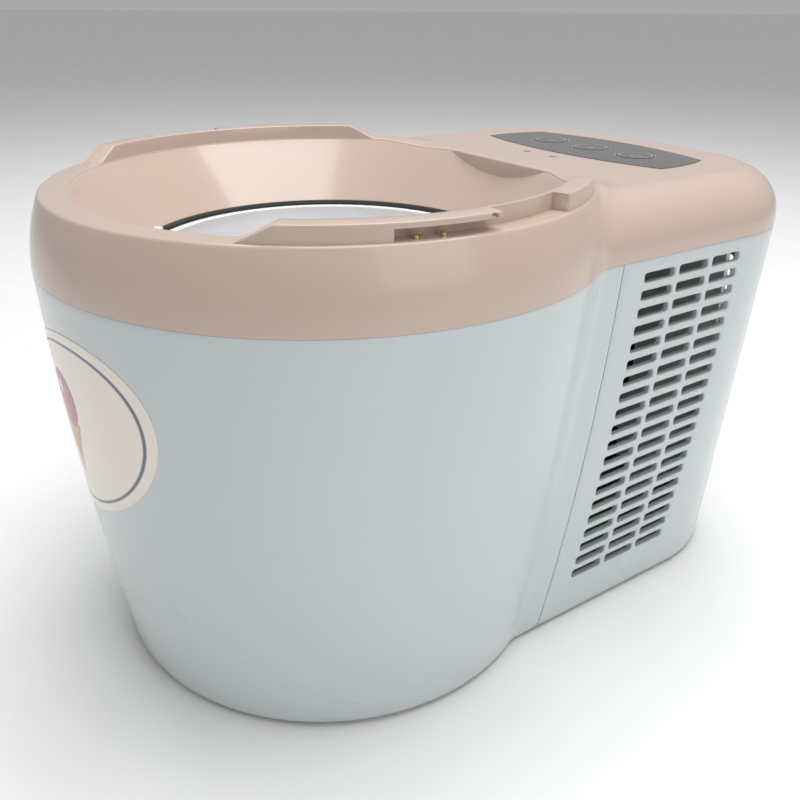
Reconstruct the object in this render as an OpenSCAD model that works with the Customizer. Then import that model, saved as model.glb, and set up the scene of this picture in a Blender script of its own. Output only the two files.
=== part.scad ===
// Countertop ice cream maker with a thermoelectric cooler.
// A round bowl housing at the front joins a tower at the rear that holds the cooler, fan and controls.
// Millimetres, +Z up, +Y towards the rear. The origin is under the middle of the whole machine, on the
// surface that it stands on.

/* [Body] */
// Radius of the round housing at the line between the white shells and the coloured cover
ring_r = 100; // [90:1:120]
// Distance from the bowl's axis back to the rear wall at that line
rear_reach = 187.7; // [175:0.5:230]
// Half of the tower's width at that line
tower_half = 83; // [76:0.5:88]
// Height of the white shells
shell_h = 147.2; // [140:0.5:180]
// Height of the coloured cover above the shells
band_h = 23.3; // [20:0.1:30]
// Wall of the shells and the cover
wall = 2.4; // [1.8:0.1:3]
// Radius of the tower's rear corners
corner_r = 51; // [35:1:55]
// Radius of the gently bowed rear wall
rear_arc_r = 282; // [200:1:400]
// Radius of the soft crease where the round housing meets the tower
crease_r = 15; // [8:1:20]
// Gap between neighbouring shells
shell_gap = 0.3; // [0.2:0.1:0.6]

/* [Cover] */
// How far the tower's deck lies below the top of the ring
deck_drop = 2; // [1:0.1:3]
// Radius that rounds the deck into the tower's sides
deck_round = 18; // [12:0.5:19]
// Radius of the funnel at the top of the ring
funnel_top_r = 86.6; // [84:0.1:90]
// Radius of the funnel at its lower edge
funnel_low_r = 67; // [66:0.1:72]
// Height of the funnel
funnel_h = 24; // [20:0.5:30]
// Distance from the bowl's axis to the flat face at the back of the funnel
chord_y = 79.5; // [76:0.5:83]
// Height of the lid's guard walls above the ring
guard_h = 5.2; // [4:0.1:8]
// Half of the angle that a guard wall covers, with its ramps
guard_half_angle = 44; // [30:1:60]
// Height of the slot that the lid's lugs turn into
lock_slot_h = 3.5; // [2.5:0.1:4]

/* [Controls] */
// Half of the control panel's width
panel_half = 51; // [45:0.5:56]
// Depth of the control panel from front to back
panel_d = 44.2; // [36:0.2:46]
// Thickness of the control panel
panel_t = 1.5; // [1:0.1:1.8]
// Distance from the bowl's axis to the panel's middle
panel_y = 134.4; // [130:0.2:140]
// Radius of a key
key_r = 7.5; // [5:0.5:9]
// Distance from key to key
key_pitch = 25; // [20:0.5:28]
// How far a key travels
key_travel = 0.4; // [0.2:0.1:0.8]
// Gap round a key
key_gap = 0.3; // [0.2:0.05:0.5]
// Radius of an indicator lens
lens_r = 1.6; // [1:0.1:2.5]

/* [Vents] */
// Rows of slots in each side
vent_rows = 20; // [8:1:20]
// Columns of slots in each side
vent_columns = 3; // [1:1:3]
// Length of a slot
slot_l = 15.9; // [8:0.1:16.5]
// Height of a slot
slot_h = 3.6; // [2:0.1:4]
// Distance from row to row
slot_pitch_z = 6.35; // [6:0.05:7]
// Distance from column to column
slot_pitch_y = 18.3; // [17:0.1:20]

/* [Bowl] */
// Outer radius of the lift-out bowl under its rim
bowl_top_r = 64.2; // [60:0.1:64.5]
// Outer radius of the bowl at its floor
bowl_low_r = 58; // [50:0.5:60]
// Depth of the bowl under its rim
bowl_depth = 108; // [90:1:112]
// Wall of the bowl
bowl_wall = 1.5; // [1:0.1:2.5]
// Clearance between the bowl and the cooling pot
bowl_clear = 0.35; // [0.3:0.05:0.6]
// Wall of the cooling pot
pot_wall = 2.2; // [1.5:0.1:3]
// Wire radius of the bowl's bail
bail_wire_r = 1.5; // [1:0.1:2]
// Running clearance of a pin in its bore
pin_clear = 0.05; // [0.02:0.01:0.1]

/* [Cooler] */
// Side of the square cooling module
module_side = 40; // [30:1:40]
// Thickness of the cooling module
module_t = 3.8; // [3:0.1:5]
// Thickness of a thermal pad
pad_t = 0.5; // [0.3:0.1:1]
// Side of the square heat sink
sink_side = 90; // [70:1:92]
// Thickness of the heat sink's base
sink_base_t = 8; // [4:0.5:10]
// Length of the heat sink's fins
fin_l = 31; // [20:1:32]
// Number of fins
fin_count = 15; // [8:1:16]
// Side of the square fan
fan_side = 92; // [80:1:92]
// Depth of the fan
fan_d = 25; // [20:1:32]
// Radius of the fan's air hole
fan_hole_r = 43.5; // [36:0.5:44]
// Number of fan blades
blade_count = 7; // [5:1:9]

/* [Base] */
// Thickness of the base plate
base_t = 3; // [2:0.1:4]
// Height of the feet under the shells
foot_drop = 2; // [1:0.5:6]
// Radius of a foot
foot_r = 8; // [6:0.5:12]
// Radius of a case screw's thread
screw_r = 1.5; // [1.2:0.1:2]

/* [Hidden] */
$fn = 64;
cut = 1;                    // how far a cutter runs past what it cuts

// Shape of the body. "Drop" runs from 0 at the colour line to 1 at the foot of the shells.
bowl_taper = 8.4;
bowl_tuck = 8.9;
side_swell = 3;
side_tuck = 11.6;
rear_lean = 20;
rear_curve = 16.7;
corner_grow = 6;
band_taper = 4.85;
seam_y = 66.3;
seam_lean = 17;
body_levels = 8;

bowl_y = -(rear_reach - ring_r) / 2;
ring_top = shell_h + band_h;
deck_z = ring_top - deck_drop;
deck_under = deck_z - wall;

function bowl_r(drop) = ring_r - bowl_taper * drop - bowl_tuck * drop * drop;
function side_x(drop) = tower_half + side_swell * drop - side_tuck * drop * drop;
function rear_y(drop) = rear_reach - rear_lean * drop + rear_curve * drop * drop;
function band_r(rise) = ring_r - band_taper * pow(rise / band_h, 2);
function drop_at(z) = 1 - z / shell_h;

function arc(cx, cy, r, from, to, steps, first = 0) =
    [for (i = [first:steps]) let (a = from + (to - from) * i / steps) [cx + r * cos(a), cy + r * sin(a)]];

// Right half of a section: front arc, crease, flat side, rear corner and bowed rear wall.
function half_outline(front_r, side, rear, back_r, corner, crease) =
    let (
        crease_y = sqrt(pow(front_r + crease, 2) - pow(side + crease, 2)),
        crease_a = atan2(crease_y, side + crease),
        corner_x = side - corner,
        back_y = rear - back_r,
        corner_d = sqrt(pow(back_r - corner, 2) - pow(corner_x, 2)),
        corner_a = atan2(corner_d, corner_x)
    )
    concat(
        arc(0, 0, front_r, -90, 0, 16),
        arc(0, 0, front_r, 0, crease_a, 6, 1),
        arc(side + crease, crease_y, crease, 180 + crease_a, 180, 3, 1),
        arc(corner_x, back_y + corner_d, corner, 0, corner_a, 7),
        arc(0, back_y, back_r, corner_a, 90, 4, 1)
    );

function whole_outline(half) =
    concat(half, [for (i = [len(half) - 2:-1:1]) [-half[i][0], half[i][1]]]);

function body_outline(drop, inset) =
    whole_outline(half_outline(
        bowl_r(drop) - inset, side_x(drop) - inset, rear_y(drop) - inset,
        rear_arc_r - inset, corner_r + corner_grow * drop - inset, crease_r + inset
    ));

function cover_outline(rise, inset) =
    let (
        start = band_h - deck_drop - deck_round,
        lift = min(1, max(0, (rise - start) / deck_round)),
        round_in = deck_round * (1 - sqrt(1 - lift * lift)),
        tower_in = inset + round_in
    )
    whole_outline(half_outline(
        band_r(rise) - inset, tower_half - tower_in, rear_reach - tower_in,
        rear_arc_r - tower_in, corner_r - tower_in, crease_r + inset
    ));

module loft(sections, heights) {
    count = len(sections[0]);
    points = [for (k = [0:len(sections) - 1]) for (p = sections[k]) [p[0], p[1], heights[k]]];
    sides = [
        for (k = [0:len(sections) - 2]) for (i = [0:count - 1])
            let (j = (i + 1) % count, low = k * count, high = low + count)
            each [[low + i, high + i, high + j], [low + i, high + j, low + j]]
    ];
    base = [for (i = [0:count - 1]) i];
    lid = [for (i = [count - 1:-1:0]) (len(sections) - 1) * count + i];
    polyhedron(points, concat([base], sides, [lid]), convexity = 8);
}

module body_solid(inset, extra = 0) {
    drops = [for (k = [0:body_levels]) 1 - k / body_levels];
    sections = [for (d = drops) body_outline(d, inset)];
    heights = [for (d = drops) shell_h * (1 - d)];
    if (extra == 0) loft(sections, heights);
    else loft(
        concat([sections[0]], sections, [sections[body_levels]]),
        concat([-extra], heights, [shell_h + extra])
    );
}

module cover_solid(inset, top, extra = 0) {
    start = band_h - deck_drop - deck_round;
    rises = concat([0, start], [for (a = [18:18:90]) start + deck_round * sin(a)]);
    sections = [for (r = rises) cover_outline(r, inset)];
    heights = [for (r = rises) shell_h + (r - start > 0 ? start + (r - start) * (top - start) / deck_round : r)];
    if (extra == 0) loft(sections, heights);
    else loft(concat([sections[0]], sections), concat([shell_h - extra], heights));
}

// Puts a piece that is drawn about the bowl's axis into the machine's frame.
module place() {
    translate([0, bowl_y, foot_drop]) children();
}

// A prism along X from points given as [y, z].
module across(points, from, to) {
    translate([from, 0, 0]) rotate([90, 0, 90]) linear_extrude(to - from) polygon(points);
}

// A tube that follows points. Its first cross direction is square to "side".
function unit(v) = v / norm(v);
function heading(p, i) = unit(p[min(i + 1, len(p) - 1)] - p[max(i - 1, 0)]);

module tube(p, width, height, sides = 8, side = [0.2, 1, 0.3]) {
    frames = [
        for (i = [0:len(p) - 1])
            let (t = heading(p, i), u = unit(cross(t, side)), v = cross(t, u)) [u, v]
    ];
    turn = 360 / sides;
    points = [
        for (i = [0:len(p) - 1]) for (k = [0:sides - 1])
            p[i] + frames[i][0] * cos(k * turn) * width / 2 + frames[i][1] * sin(k * turn) * height / 2
    ];
    skin = [
        for (i = [0:len(p) - 2]) for (k = [0:sides - 1])
            let (a = i * sides + k, b = i * sides + (k + 1) % sides)
            each [[a, a + sides, b + sides], [a, b + sides, b]]
    ];
    start = [for (k = [0:sides - 1]) k];
    end = [for (k = [sides - 1:-1:0]) (len(p) - 1) * sides + k];
    polyhedron(points, concat([start], skin, [end]), convexity = 4);
}

// ---------------------------------------------------------------- shells

module seam_side(front) {
    shift = front ? -shell_gap / 2 : shell_gap / 2;
    far = front ? -2 * ring_r : 2 * rear_reach;
    across([
        [seam_y + shift - seam_lean * drop_at(-foot_drop - cut), -foot_drop - cut],
        [seam_y + shift - seam_lean * drop_at(shell_h + cut), shell_h + cut],
        [far, shell_h + cut],
        [far, -foot_drop - cut]
    ], -2 * ring_r, 2 * ring_r);
}

base_z = 0.8;
base_top = base_z + base_t;
boss_r = 4;
boss_h = 11;
front_boss_r = ring_r - bowl_taper - bowl_tuck - wall - boss_r - 3;
front_boss_angles = [-114, -66];
rear_boss_y = rear_reach - 36;
rear_boss_x = tower_half - 31;

module front_bosses(r, z, h) {
    for (a = front_boss_angles) rotate(a) translate([front_boss_r, 0, z]) cylinder(r = r, h = h);
}

module rear_bosses(r, z, h) {
    for (x = [-rear_boss_x, rear_boss_x]) translate([x, rear_boss_y, z]) cylinder(r = r, h = h);
}

module front_boss_ribs() {
    for (a = front_boss_angles) rotate(a)
        translate([front_boss_r, -1, base_top + 0.2]) cube([boss_r + 8, 2, boss_h - 2]);
}

module rear_boss_ribs() {
    for (side = [0, 1]) mirror([side, 0, 0])
        translate([rear_boss_x, rear_boss_y - 1, base_top + 0.2]) cube([40, 2, boss_h - 2]);
}

slot_corner = 1.1;
first_row_z = shell_h - 6.8;
first_column_y = 86.1;

module slot(y, z, long, high) {
    x = long / 2;
    h = high / 2;
    c = slot_corner;
    translate([y, z]) polygon([
        [-x + c, -h], [x - c, -h], [x, -h + c], [x, h - c], [x - c, h], [-x + c, h], [-x, h - c], [-x, -h + c]
    ]);
}

module side_slots() {
    rotate([90, 0, 90]) linear_extrude(3 * ring_r, center = true)
        for (row = [0:vent_rows - 1]) for (column = [0:vent_columns - 1])
            let (z = first_row_z - row * slot_pitch_z)
            slot(first_column_y + column * slot_pitch_y - seam_lean * drop_at(z), z, slot_l, slot_h);
}

intake_rows = 13;
intake_pitch_x = 21;
module rear_slots() {
    translate([0, rear_reach + 5, 0]) rotate([90, 0, 0]) linear_extrude(30)
        for (row = [0:intake_rows - 1]) for (column = [-2:2])
            slot(column * intake_pitch_x, cooler_z + (row - (intake_rows - 1) / 2) * slot_pitch_z, slot_l, slot_h);
}

module front_shell() {
    color("#e6eaec") place() difference() {
        union() {
            intersection() {
                difference() {
                    body_solid(0);
                    body_solid(wall, cut);
                }
                seam_side(true);
            }
            intersection() {
                union() {
                    front_bosses(boss_r, base_top + 0.2, boss_h);
                    front_boss_ribs();
                }
                body_solid(wall / 2);
            }
        }
        front_bosses(screw_r - 0.1, base_top, boss_h - 2);
    }
}

inlet_z = 24;
inlet_w = 20;
inlet_h = 10;
inlet_pad_y = rear_reach - 4.2;

module rear_shell() {
    color("#eceff1") place() difference() {
        union() {
            intersection() {
                difference() {
                    body_solid(0);
                    body_solid(wall, cut);
                }
                seam_side(false);
            }
            intersection() {
                union() {
                    rear_bosses(boss_r, base_top + 0.2, boss_h);
                    rear_boss_ribs();
                }
                body_solid(wall / 2);
            }
            translate([-inlet_w / 2 - 7, inlet_pad_y - 4, inlet_z - inlet_h / 2 - 5])
                cube([inlet_w + 14, 4, inlet_h + 10]);
        }
        side_slots();
        rear_slots();
        rear_bosses(screw_r - 0.1, base_top, boss_h - 2);
        translate([-inlet_w / 2 - shell_gap, inlet_pad_y - 20, inlet_z - inlet_h / 2 - shell_gap])
            cube([inlet_w + 2 * shell_gap, 40, inlet_h + 2 * shell_gap]);
    }
}

foot_spots = [[-46, -52], [46, -52], [-52, 137], [52, 137]];
foot_pin_r = 2;
stand_off_r = 3.5;
power_board_z = 12;
power_board_x = 60;
power_board_y0 = 74;
power_board_y1 = 122;
power_board_holes = [for (x = [-1, 1]) for (y = [power_board_y0 + 5, power_board_y1 - 5]) [x * (power_board_x - 5), y]];
foam_z = 16;

module base_plate() {
    section = body_outline(1, wall + shell_gap);
    color("#dfe3e5") place() difference() {
        union() {
            loft([section, section], [base_z, base_top]);
            for (p = power_board_holes) translate([p[0], p[1], base_top])
                cylinder(r = stand_off_r, h = power_board_z - base_top);
            translate([0, 0, base_top]) rotate_extrude() translate([52, 0]) square([3, foam_z - base_top]);
        }
        for (p = foot_spots) translate([p[0], p[1], base_z - cut]) cylinder(r = foot_pin_r, h = base_t + 2 * cut);
        front_bosses(screw_r + 0.3, base_z - cut, base_t + 2 * cut);
        rear_bosses(screw_r + 0.3, base_z - cut, base_t + 2 * cut);
        for (p = power_board_holes) translate([p[0], p[1], base_top + 2])
            cylinder(r = screw_r - 0.3, h = power_board_z);
    }
}

module feet() {
    color("#3a3a3c") place() for (p = foot_spots) translate([p[0], p[1], 0]) {
        translate([0, 0, -foot_drop]) cylinder(r1 = foot_r - 0.6, r2 = foot_r, h = 0.8);
        translate([0, 0, -foot_drop + 0.8]) cylinder(r = foot_r, h = foot_drop + base_z - 0.8);
        translate([0, 0, base_z]) cylinder(r = foot_pin_r - 0.05, h = base_t);
        translate([0, 0, base_top]) cylinder(r1 = foot_pin_r + 0.9, r2 = foot_pin_r - 0.6, h = 2);
    }
}

module pan_screw(head_r, head_h, thread_r, length) {
    difference() {
        union() {
            translate([0, 0, -head_h]) cylinder(r = head_r, h = head_h);
            cylinder(r = thread_r, h = length);
        }
        for (a = [0, 90]) rotate(a) translate([-head_r * 0.6, -0.35, -head_h - cut])
            cube([head_r * 1.2, 0.7, cut + head_h * 0.5]);
    }
}

module case_screws() {
    color("silver") place() {
        for (a = front_boss_angles) rotate(a) translate([front_boss_r, 0, base_z])
            pan_screw(2.9, 1.6, screw_r - 0.12, base_t + 6);
        for (x = [-rear_boss_x, rear_boss_x]) translate([x, rear_boss_y, base_z])
            pan_screw(2.9, 1.6, screw_r - 0.12, base_t + 6);
    }
}

emblem_half_w = 54.3;
emblem_half_h = 31.4;
emblem_z = shell_h - 47.7;
emblem_tilt = 21;
emblem_wrap_r = ring_r - 9;

// A point of the emblem's tilted oval, wrapped round the housing.
function emblem_point(a) =
    let (
        along = emblem_half_w * cos(a) * cos(emblem_tilt) - emblem_half_h * sin(a) * sin(emblem_tilt),
        up = emblem_half_w * cos(a) * sin(emblem_tilt) + emblem_half_h * sin(a) * cos(emblem_tilt)
    )
    [emblem_wrap_r * sin(along / emblem_wrap_r * 180 / PI), up];
emblem_t = 0.25;

module emblem() {
    color("#d9b88c") place() intersection() {
        difference() {
            body_solid(-emblem_t);
            body_solid(0, cut);
        }
        translate([0, -ring_r / 2, emblem_z]) rotate([90, 0, 0]) linear_extrude(ring_r / 2 + cut)
            polygon([for (a = [0:5:355]) emblem_point(a)]);
    }
}

// ---------------------------------------------------------------- coloured cover

ledge_outer_r = ring_r - band_taper;
guard_outer_r = ledge_outer_r - 1.2;
guard_inner_r = funnel_top_r + 0.2;
recess_r = guard_inner_r + 1.9;
ramp_angle = 6.7;
lock_from = -18.7;
lock_lip_to = 1;
lock_to = 20;
funnel_low_z = ring_top - funnel_h;
funnel_slope = (funnel_top_r - funnel_low_r) / funnel_h;
contact_angles = [-14.5, -9.5];
contact_r = (recess_r + ledge_outer_r) / 2 - 0.6;
contact_pin_r = 1;

module funnel_cone(grow, below, above) {
    rotate_extrude($fn = 128) polygon([
        [0, funnel_low_z - below],
        [funnel_low_r + grow - funnel_slope * below, funnel_low_z - below],
        [funnel_top_r + grow + funnel_slope * above, ring_top + above],
        [0, ring_top + above]
    ]);
}

// The funnel with its back cut off flat.
module funnel_space(grow, below, above) {
    intersection() {
        funnel_cone(grow, below, above);
        translate([-2 * ring_r, -2 * ring_r, 0]) cube([4 * ring_r, 2 * ring_r + chord_y + grow, 2 * ring_r]);
    }
}

module sector(inner, outer, low, high, from, to) {
    rotate(from) rotate_extrude(angle = to - from, $fn = 128)
        translate([inner, low]) square([outer - inner, high - low]);
}

module guard_wall() {
    ramp_run = guard_inner_r * ramp_angle * PI / 180;
    difference() {
        sector(guard_inner_r, guard_outer_r, ring_top - 0.6, ring_top + guard_h,
            -guard_half_angle, guard_half_angle);
        for (side = [-1, 1]) rotate(side * (guard_half_angle - ramp_angle))
            translate([guard_inner_r - 6, 0, ring_top]) rotate([90, 0, 90]) linear_extrude(20) polygon([
                [-side * 0.01, guard_h], [side * ramp_run, 0], [side * (ramp_run + 8), 0],
                [side * (ramp_run + 8), guard_h + 5], [-side * 0.01, guard_h + 5]
            ]);
        sector(recess_r, ring_r + 2, ring_top, ring_top + lock_slot_h, lock_from, lock_lip_to + 5);
        sector(recess_r, ring_r + 3, ring_top - 0.001, ring_top + guard_h + 3, lock_lip_to, lock_to);
        rotate(lock_lip_to - 1.6) translate([recess_r, 0, ring_top + lock_slot_h]) rotate([0, 90, 0])
            cylinder(r = 1.5, h = 12);
    }
}

function panel_arc(half, depth) = (half * half + depth * depth) / (2 * depth);

// Panel outline: a bowed front edge, upright ends and a bowed rear edge.
module panel_outline(grow) {
    front_bow = 7.4;
    rear_bow = 9.4;
    end_r = 60;
    front_r = panel_arc(panel_half, front_bow);
    rear_r = panel_arc(panel_half, rear_bow);
    translate([0, panel_y]) intersection() {
        translate([0, -panel_d / 2 + front_r]) circle(r = front_r + grow, $fn = 200);
        translate([0, panel_d / 2 - rear_r]) circle(r = rear_r + grow, $fn = 200);
        translate([panel_half - end_r, -8]) circle(r = end_r + grow, $fn = 128);
        translate([end_r - panel_half, -8]) circle(r = end_r + grow, $fn = 128);
    }
}

key_x = [-key_pitch, 0, key_pitch];
key_flange_r = key_r + 1.2;
key_stand = 0.4;
lens_x = 7.8;
lens_y = 104;
board_t = 1.6;
board_z = deck_under - 9.2;
board_y0 = 98;
board_y1 = 159;
board_x = 46;
board_posts = [[-40, board_y0 + 5], [40, board_y0 + 5], [-38, board_y1 - 6], [38, board_y1 - 6]];
cover_tab_angles = [-165, -102, -38];

module top_cover() {
    color("#dcc1b6") place() difference() {
        union() {
            cover_solid(0, band_h - deck_drop);
            rotate_extrude($fn = 160) polygon([
                [funnel_top_r - 4, deck_z - 0.8], [ledge_outer_r - 0.1, deck_z - 0.8],
                [ledge_outer_r - 0.1, ring_top - 0.8], [ledge_outer_r - 0.9, ring_top],
                [funnel_top_r - 4, ring_top]
            ]);
            intersection() {
                funnel_space(wall, 0, 0);
                translate([0, 0, funnel_low_z]) cylinder(r = 2 * ring_r, h = 10);
            }
            for (turn = [0, 180]) rotate(turn) guard_wall();
        }
        difference() {
            cover_solid(wall, band_h - deck_drop - wall, cut);
            funnel_space(wall, 0, 0);
            for (p = board_posts) translate([p[0], p[1], board_z + board_t])
                cylinder(r = 3, h = 20);
            rotate_extrude($fn = 128) polygon([
                [ring_r - wall - 3, shell_h - 0.5], [ring_r + 2, shell_h - 0.5],
                [ring_r + 2, shell_h + 5], [ring_r - wall - 0.6, shell_h + 5]
            ]);
        }
        funnel_space(0, cut, guard_h + 5);
        translate([0, 0, deck_z - panel_t]) linear_extrude(10) panel_outline(0.15);
        for (x = key_x) translate([x, panel_y, deck_under - cut])
            cylinder(r = key_flange_r + key_gap, h = wall + cut);
        for (s = [-1, 1]) translate([s * lens_x, lens_y, deck_under - cut])
            cylinder(r = lens_r, h = wall + 2 * cut);
        for (p = board_posts) translate([p[0], p[1], board_z]) cylinder(r = 0.9, h = 8);
        for (a = contact_angles) rotate(a) translate([contact_r, 0, deck_under - 4])
            cylinder(r = contact_pin_r + pin_clear, h = 20, $fn = 32);
    }
}

module control_panel() {
    color("#6e6c6e") place() difference() {
        translate([0, 0, deck_z - panel_t]) linear_extrude(panel_t + 0.2) panel_outline(0);
        for (x = key_x) translate([x, panel_y, deck_z - panel_t - cut])
            cylinder(r = key_r + key_gap, h = panel_t + 2 * cut);
    }
}

module key(x) {
    flange_top = deck_z - panel_t - 0.05;
    color("#8a888a") place() translate([x, panel_y, 0]) difference() {
        union() {
            translate([0, 0, flange_top - 0.6]) cylinder(r = key_flange_r, h = 0.6);
            translate([0, 0, flange_top - 0.1]) cylinder(r = key_r, h = deck_z + key_stand - flange_top + 0.1);
            translate([0, 0, board_z + board_t + 4.1 + key_travel]) cylinder(r = 2, h = 4);
        }
        translate([0, 0, deck_z + key_stand + 60 - 0.25]) sphere(r = 60, $fn = 96);
    }
}

module indicator_lenses() {
    color("#8c7f7b") place() for (s = [-1, 1]) translate([s * lens_x, lens_y, 0]) {
        translate([0, 0, deck_under]) cylinder(r = lens_r - 0.05, h = wall + 0.1);
        translate([0, 0, deck_under - 0.6]) cylinder(r = lens_r + 0.8, h = 0.6);
    }
}

module control_board() {
    color("#2f6b4a") place() difference() {
        union() {
            translate([-board_x, board_y0, board_z]) cube([2 * board_x, board_y1 - board_y0, board_t]);
            translate([-8, board_y1 - 16, board_z - 1.8]) cube([12, 12, 1.8]);
            translate([-34, board_y1 - 7, board_z - 5]) cube([14, 5, 5]);
        }
        for (p = board_posts) translate([p[0], p[1], board_z - cut]) cylinder(r = 1.2, h = board_t + 2 * cut);
    }
}

module key_switches() {
    color("#303030") place() for (x = key_x) translate([x, panel_y, board_z + board_t]) {
        translate([-3, -3, 0]) cube([6, 6, 3.4]);
        translate([0, 0, 3.4]) cylinder(r = 1.7, h = 0.65);
    }
}

module indicator_lamps() {
    color("#f2efe6") place() for (s = [-1, 1]) translate([s * lens_x, lens_y, board_z + board_t]) {
        cylinder(r = 1.9, h = 1);
        translate([0, 0, 1]) cylinder(r = 1.5, h = 4);
        translate([0, 0, 5]) intersection() {
            sphere(r = 1.5);
            translate([-2, -2, 0]) cube(4);
        }
    }
}

module control_board_screws() {
    color("silver") place() for (p = board_posts) translate([p[0], p[1], board_z])
        pan_screw(2.2, 1.3, 0.8, 6);
}

// ---------------------------------------------------------------- bowl and cooling pot

rim_z = funnel_low_z - 3.4;
rim_t = 1.8;
rim_r = bowl_top_r + 0.9;
floor_z = rim_z - bowl_depth;
bowl_slope = (bowl_top_r - bowl_low_r) / bowl_depth;
pot_rim_z = rim_z - bowl_clear;
pot_floor_z = floor_z - bowl_clear;
cooler_below_middle = 4.1;
cooler_z = floor_z + bowl_depth / 2 - cooler_below_middle;
bail_turn = -35;
bail_r = bowl_top_r - 5.6;
bail_z = rim_z + rim_t + 2;
ear_y = bowl_top_r - 2.2;
bail_angle = bail_turn + 90;

module ice_cream_bowl() {
    color("#d9dee2") place() difference() {
        union() {
            translate([0, 0, floor_z]) cylinder(r1 = bowl_low_r, r2 = bowl_top_r, h = bowl_depth, $fn = 128);
            rotate_extrude($fn = 128) polygon([
                [bowl_top_r - 3, rim_z], [rim_r - 0.5, rim_z], [rim_r, rim_z + 0.5], [rim_r, rim_z + rim_t - 0.5],
                [rim_r - 0.5, rim_z + rim_t], [bowl_top_r - 3, rim_z + rim_t]
            ]);
            rotate(bail_turn) for (side = [0, 1]) mirror([0, side, 0])
                translate([-3.5, ear_y - 1.5, rim_z + 0.3]) cube([7, 3, rim_t + 4.7]);
        }
        difference() {
            translate([0, 0, floor_z + bowl_wall])
                cylinder(r1 = bowl_low_r - bowl_wall, r2 = bowl_top_r - bowl_wall, h = bowl_depth, $fn = 128);
            rotate(bail_turn) for (side = [0, 1]) mirror([0, side, 0])
                translate([-3.5, ear_y - 1.5, rim_z + 0.3]) cube([7, 3, rim_t + 4.7]);
            translate([0, 0, floor_z]) cylinder(r1 = 6, r2 = 4.5, h = bowl_wall + 4);
        }
        translate([0, 0, rim_z + rim_t - 0.01]) cylinder(r = bowl_top_r - bowl_wall, h = 0.02, $fn = 128);
        rotate(bail_turn) translate([0, -ring_r, bail_z]) rotate([-90, 0, 0])
            cylinder(r = bail_wire_r + pin_clear, h = 2 * ring_r);
    }
}

module bowl_bail() {
    color("#c9ced2") place() rotate(bail_turn) {
        translate([0, 0, bail_z]) rotate(-90) rotate_extrude(angle = 180, $fn = 96)
            translate([bail_r, 0]) circle(r = bail_wire_r, $fn = 24);
        for (side = [0, 1]) mirror([0, side, 0]) {
            translate([0, bail_r - bail_wire_r, bail_z]) rotate([-90, 0, 0])
                cylinder(r = bail_wire_r, h = ear_y + 1.5 - bail_r + bail_wire_r);
        }
    }
}

seal_inner_r = funnel_low_r - 0.8;
seal_outer_r = funnel_low_r + 3;

module pot_seal() {
    color("#4b4a4a") place() rotate_extrude($fn = 128) polygon([
        [seal_inner_r + 0.3, pot_rim_z], [seal_outer_r, pot_rim_z], [seal_outer_r, funnel_low_z - 0.1],
        [seal_inner_r, funnel_low_z - 0.1], [seal_inner_r, rim_z + rim_t + 0.4], [seal_inner_r + 0.3, rim_z + rim_t]
    ]);
}

pad_half = 32;
pad_face_y = bowl_top_r + bowl_clear + pot_wall + 9.2;
sink_hole = 27;
module_y = pad_face_y + pad_t;
sink_y = module_y + module_t + pad_t;
fin_y = sink_y + sink_base_t;
baffle_y = fin_y + fin_l + 6.2;
baffle_t = 2;
fan_y = baffle_y + baffle_t;
fan_screw_at = 41.25;

module cooling_pot() {
    top_in = bowl_top_r + bowl_clear;
    low_in = bowl_low_r + bowl_clear;
    depth = pot_rim_z - pot_floor_z;
    color("#c4c9cc") place() difference() {
        union() {
            translate([0, 0, pot_floor_z - pot_wall])
                cylinder(r1 = low_in + pot_wall, r2 = top_in + pot_wall, h = depth + pot_wall, $fn = 128);
            translate([0, 0, pot_rim_z - 2]) cylinder(r = top_in + pot_wall + 5, h = 2, $fn = 128);
            translate([-pad_half, 30, cooler_z - pad_half]) cube([2 * pad_half, pad_face_y - 30, 2 * pad_half]);
        }
        translate([0, 0, pot_floor_z]) cylinder(r1 = low_in, r2 = top_in, h = depth, $fn = 128);
        translate([0, 0, pot_rim_z - 0.01]) cylinder(r = top_in, h = 3, $fn = 128);
        for (x = [-sink_hole, sink_hole]) for (z = [cooler_z - sink_hole, cooler_z + sink_hole])
            translate([x, pad_face_y - 9, z]) rotate([-90, 0, 0]) cylinder(r = 1.55, h = 20);
    }
}

foam_r = ring_r - 20;

module pot_insulation() {
    gap = 0.3;
    top_out = bowl_top_r + bowl_clear + pot_wall + gap;
    low_out = bowl_low_r + bowl_clear + pot_wall + gap;
    low_z = pot_floor_z - pot_wall - gap;
    color("#f4f4f0") place() difference() {
        translate([0, 0, foam_z]) cylinder(r = foam_r, h = pot_rim_z - 2.1 - foam_z, $fn = 128);
        translate([0, 0, low_z]) cylinder(r1 = low_out, r2 = top_out, h = pot_rim_z - low_z, $fn = 128);
        translate([0, 0, pot_rim_z - 2.5]) cylinder(r = top_out, h = 3, $fn = 128);
        translate([-pad_half - 1, 40, cooler_z - pad_half - 1]) cube([2 * pad_half + 2, 60, 2 * pad_half + 7]);
        translate([-foam_r, pad_face_y + gap, 0]) cube([2 * foam_r, foam_r, shell_h]);
    }
}

module temperature_sensor() {
    color("#2b2b2b") place() translate([16, pad_face_y - 11, cooler_z + pad_half + 2.1]) {
        rotate([-90, 0, 0]) cylinder(r = 2, h = 10);
        translate([-5, 3, -2.1]) cube([10, 4, 0.6]);
    }
}

// ---------------------------------------------------------------- cooler and fan

module cooling_module() {
    color("#e9e6da") place() {
        translate([-module_side / 2, module_y, cooler_z - module_side / 2])
            cube([module_side, module_t, module_side]);
    }
}

module thermal_pads() {
    color("#b9c3cc") place() for (y = [pad_face_y, module_y + module_t])
        translate([-module_side / 2, y, cooler_z - module_side / 2]) cube([module_side, pad_t, module_side]);
}

fin_t = 1.4;

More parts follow.
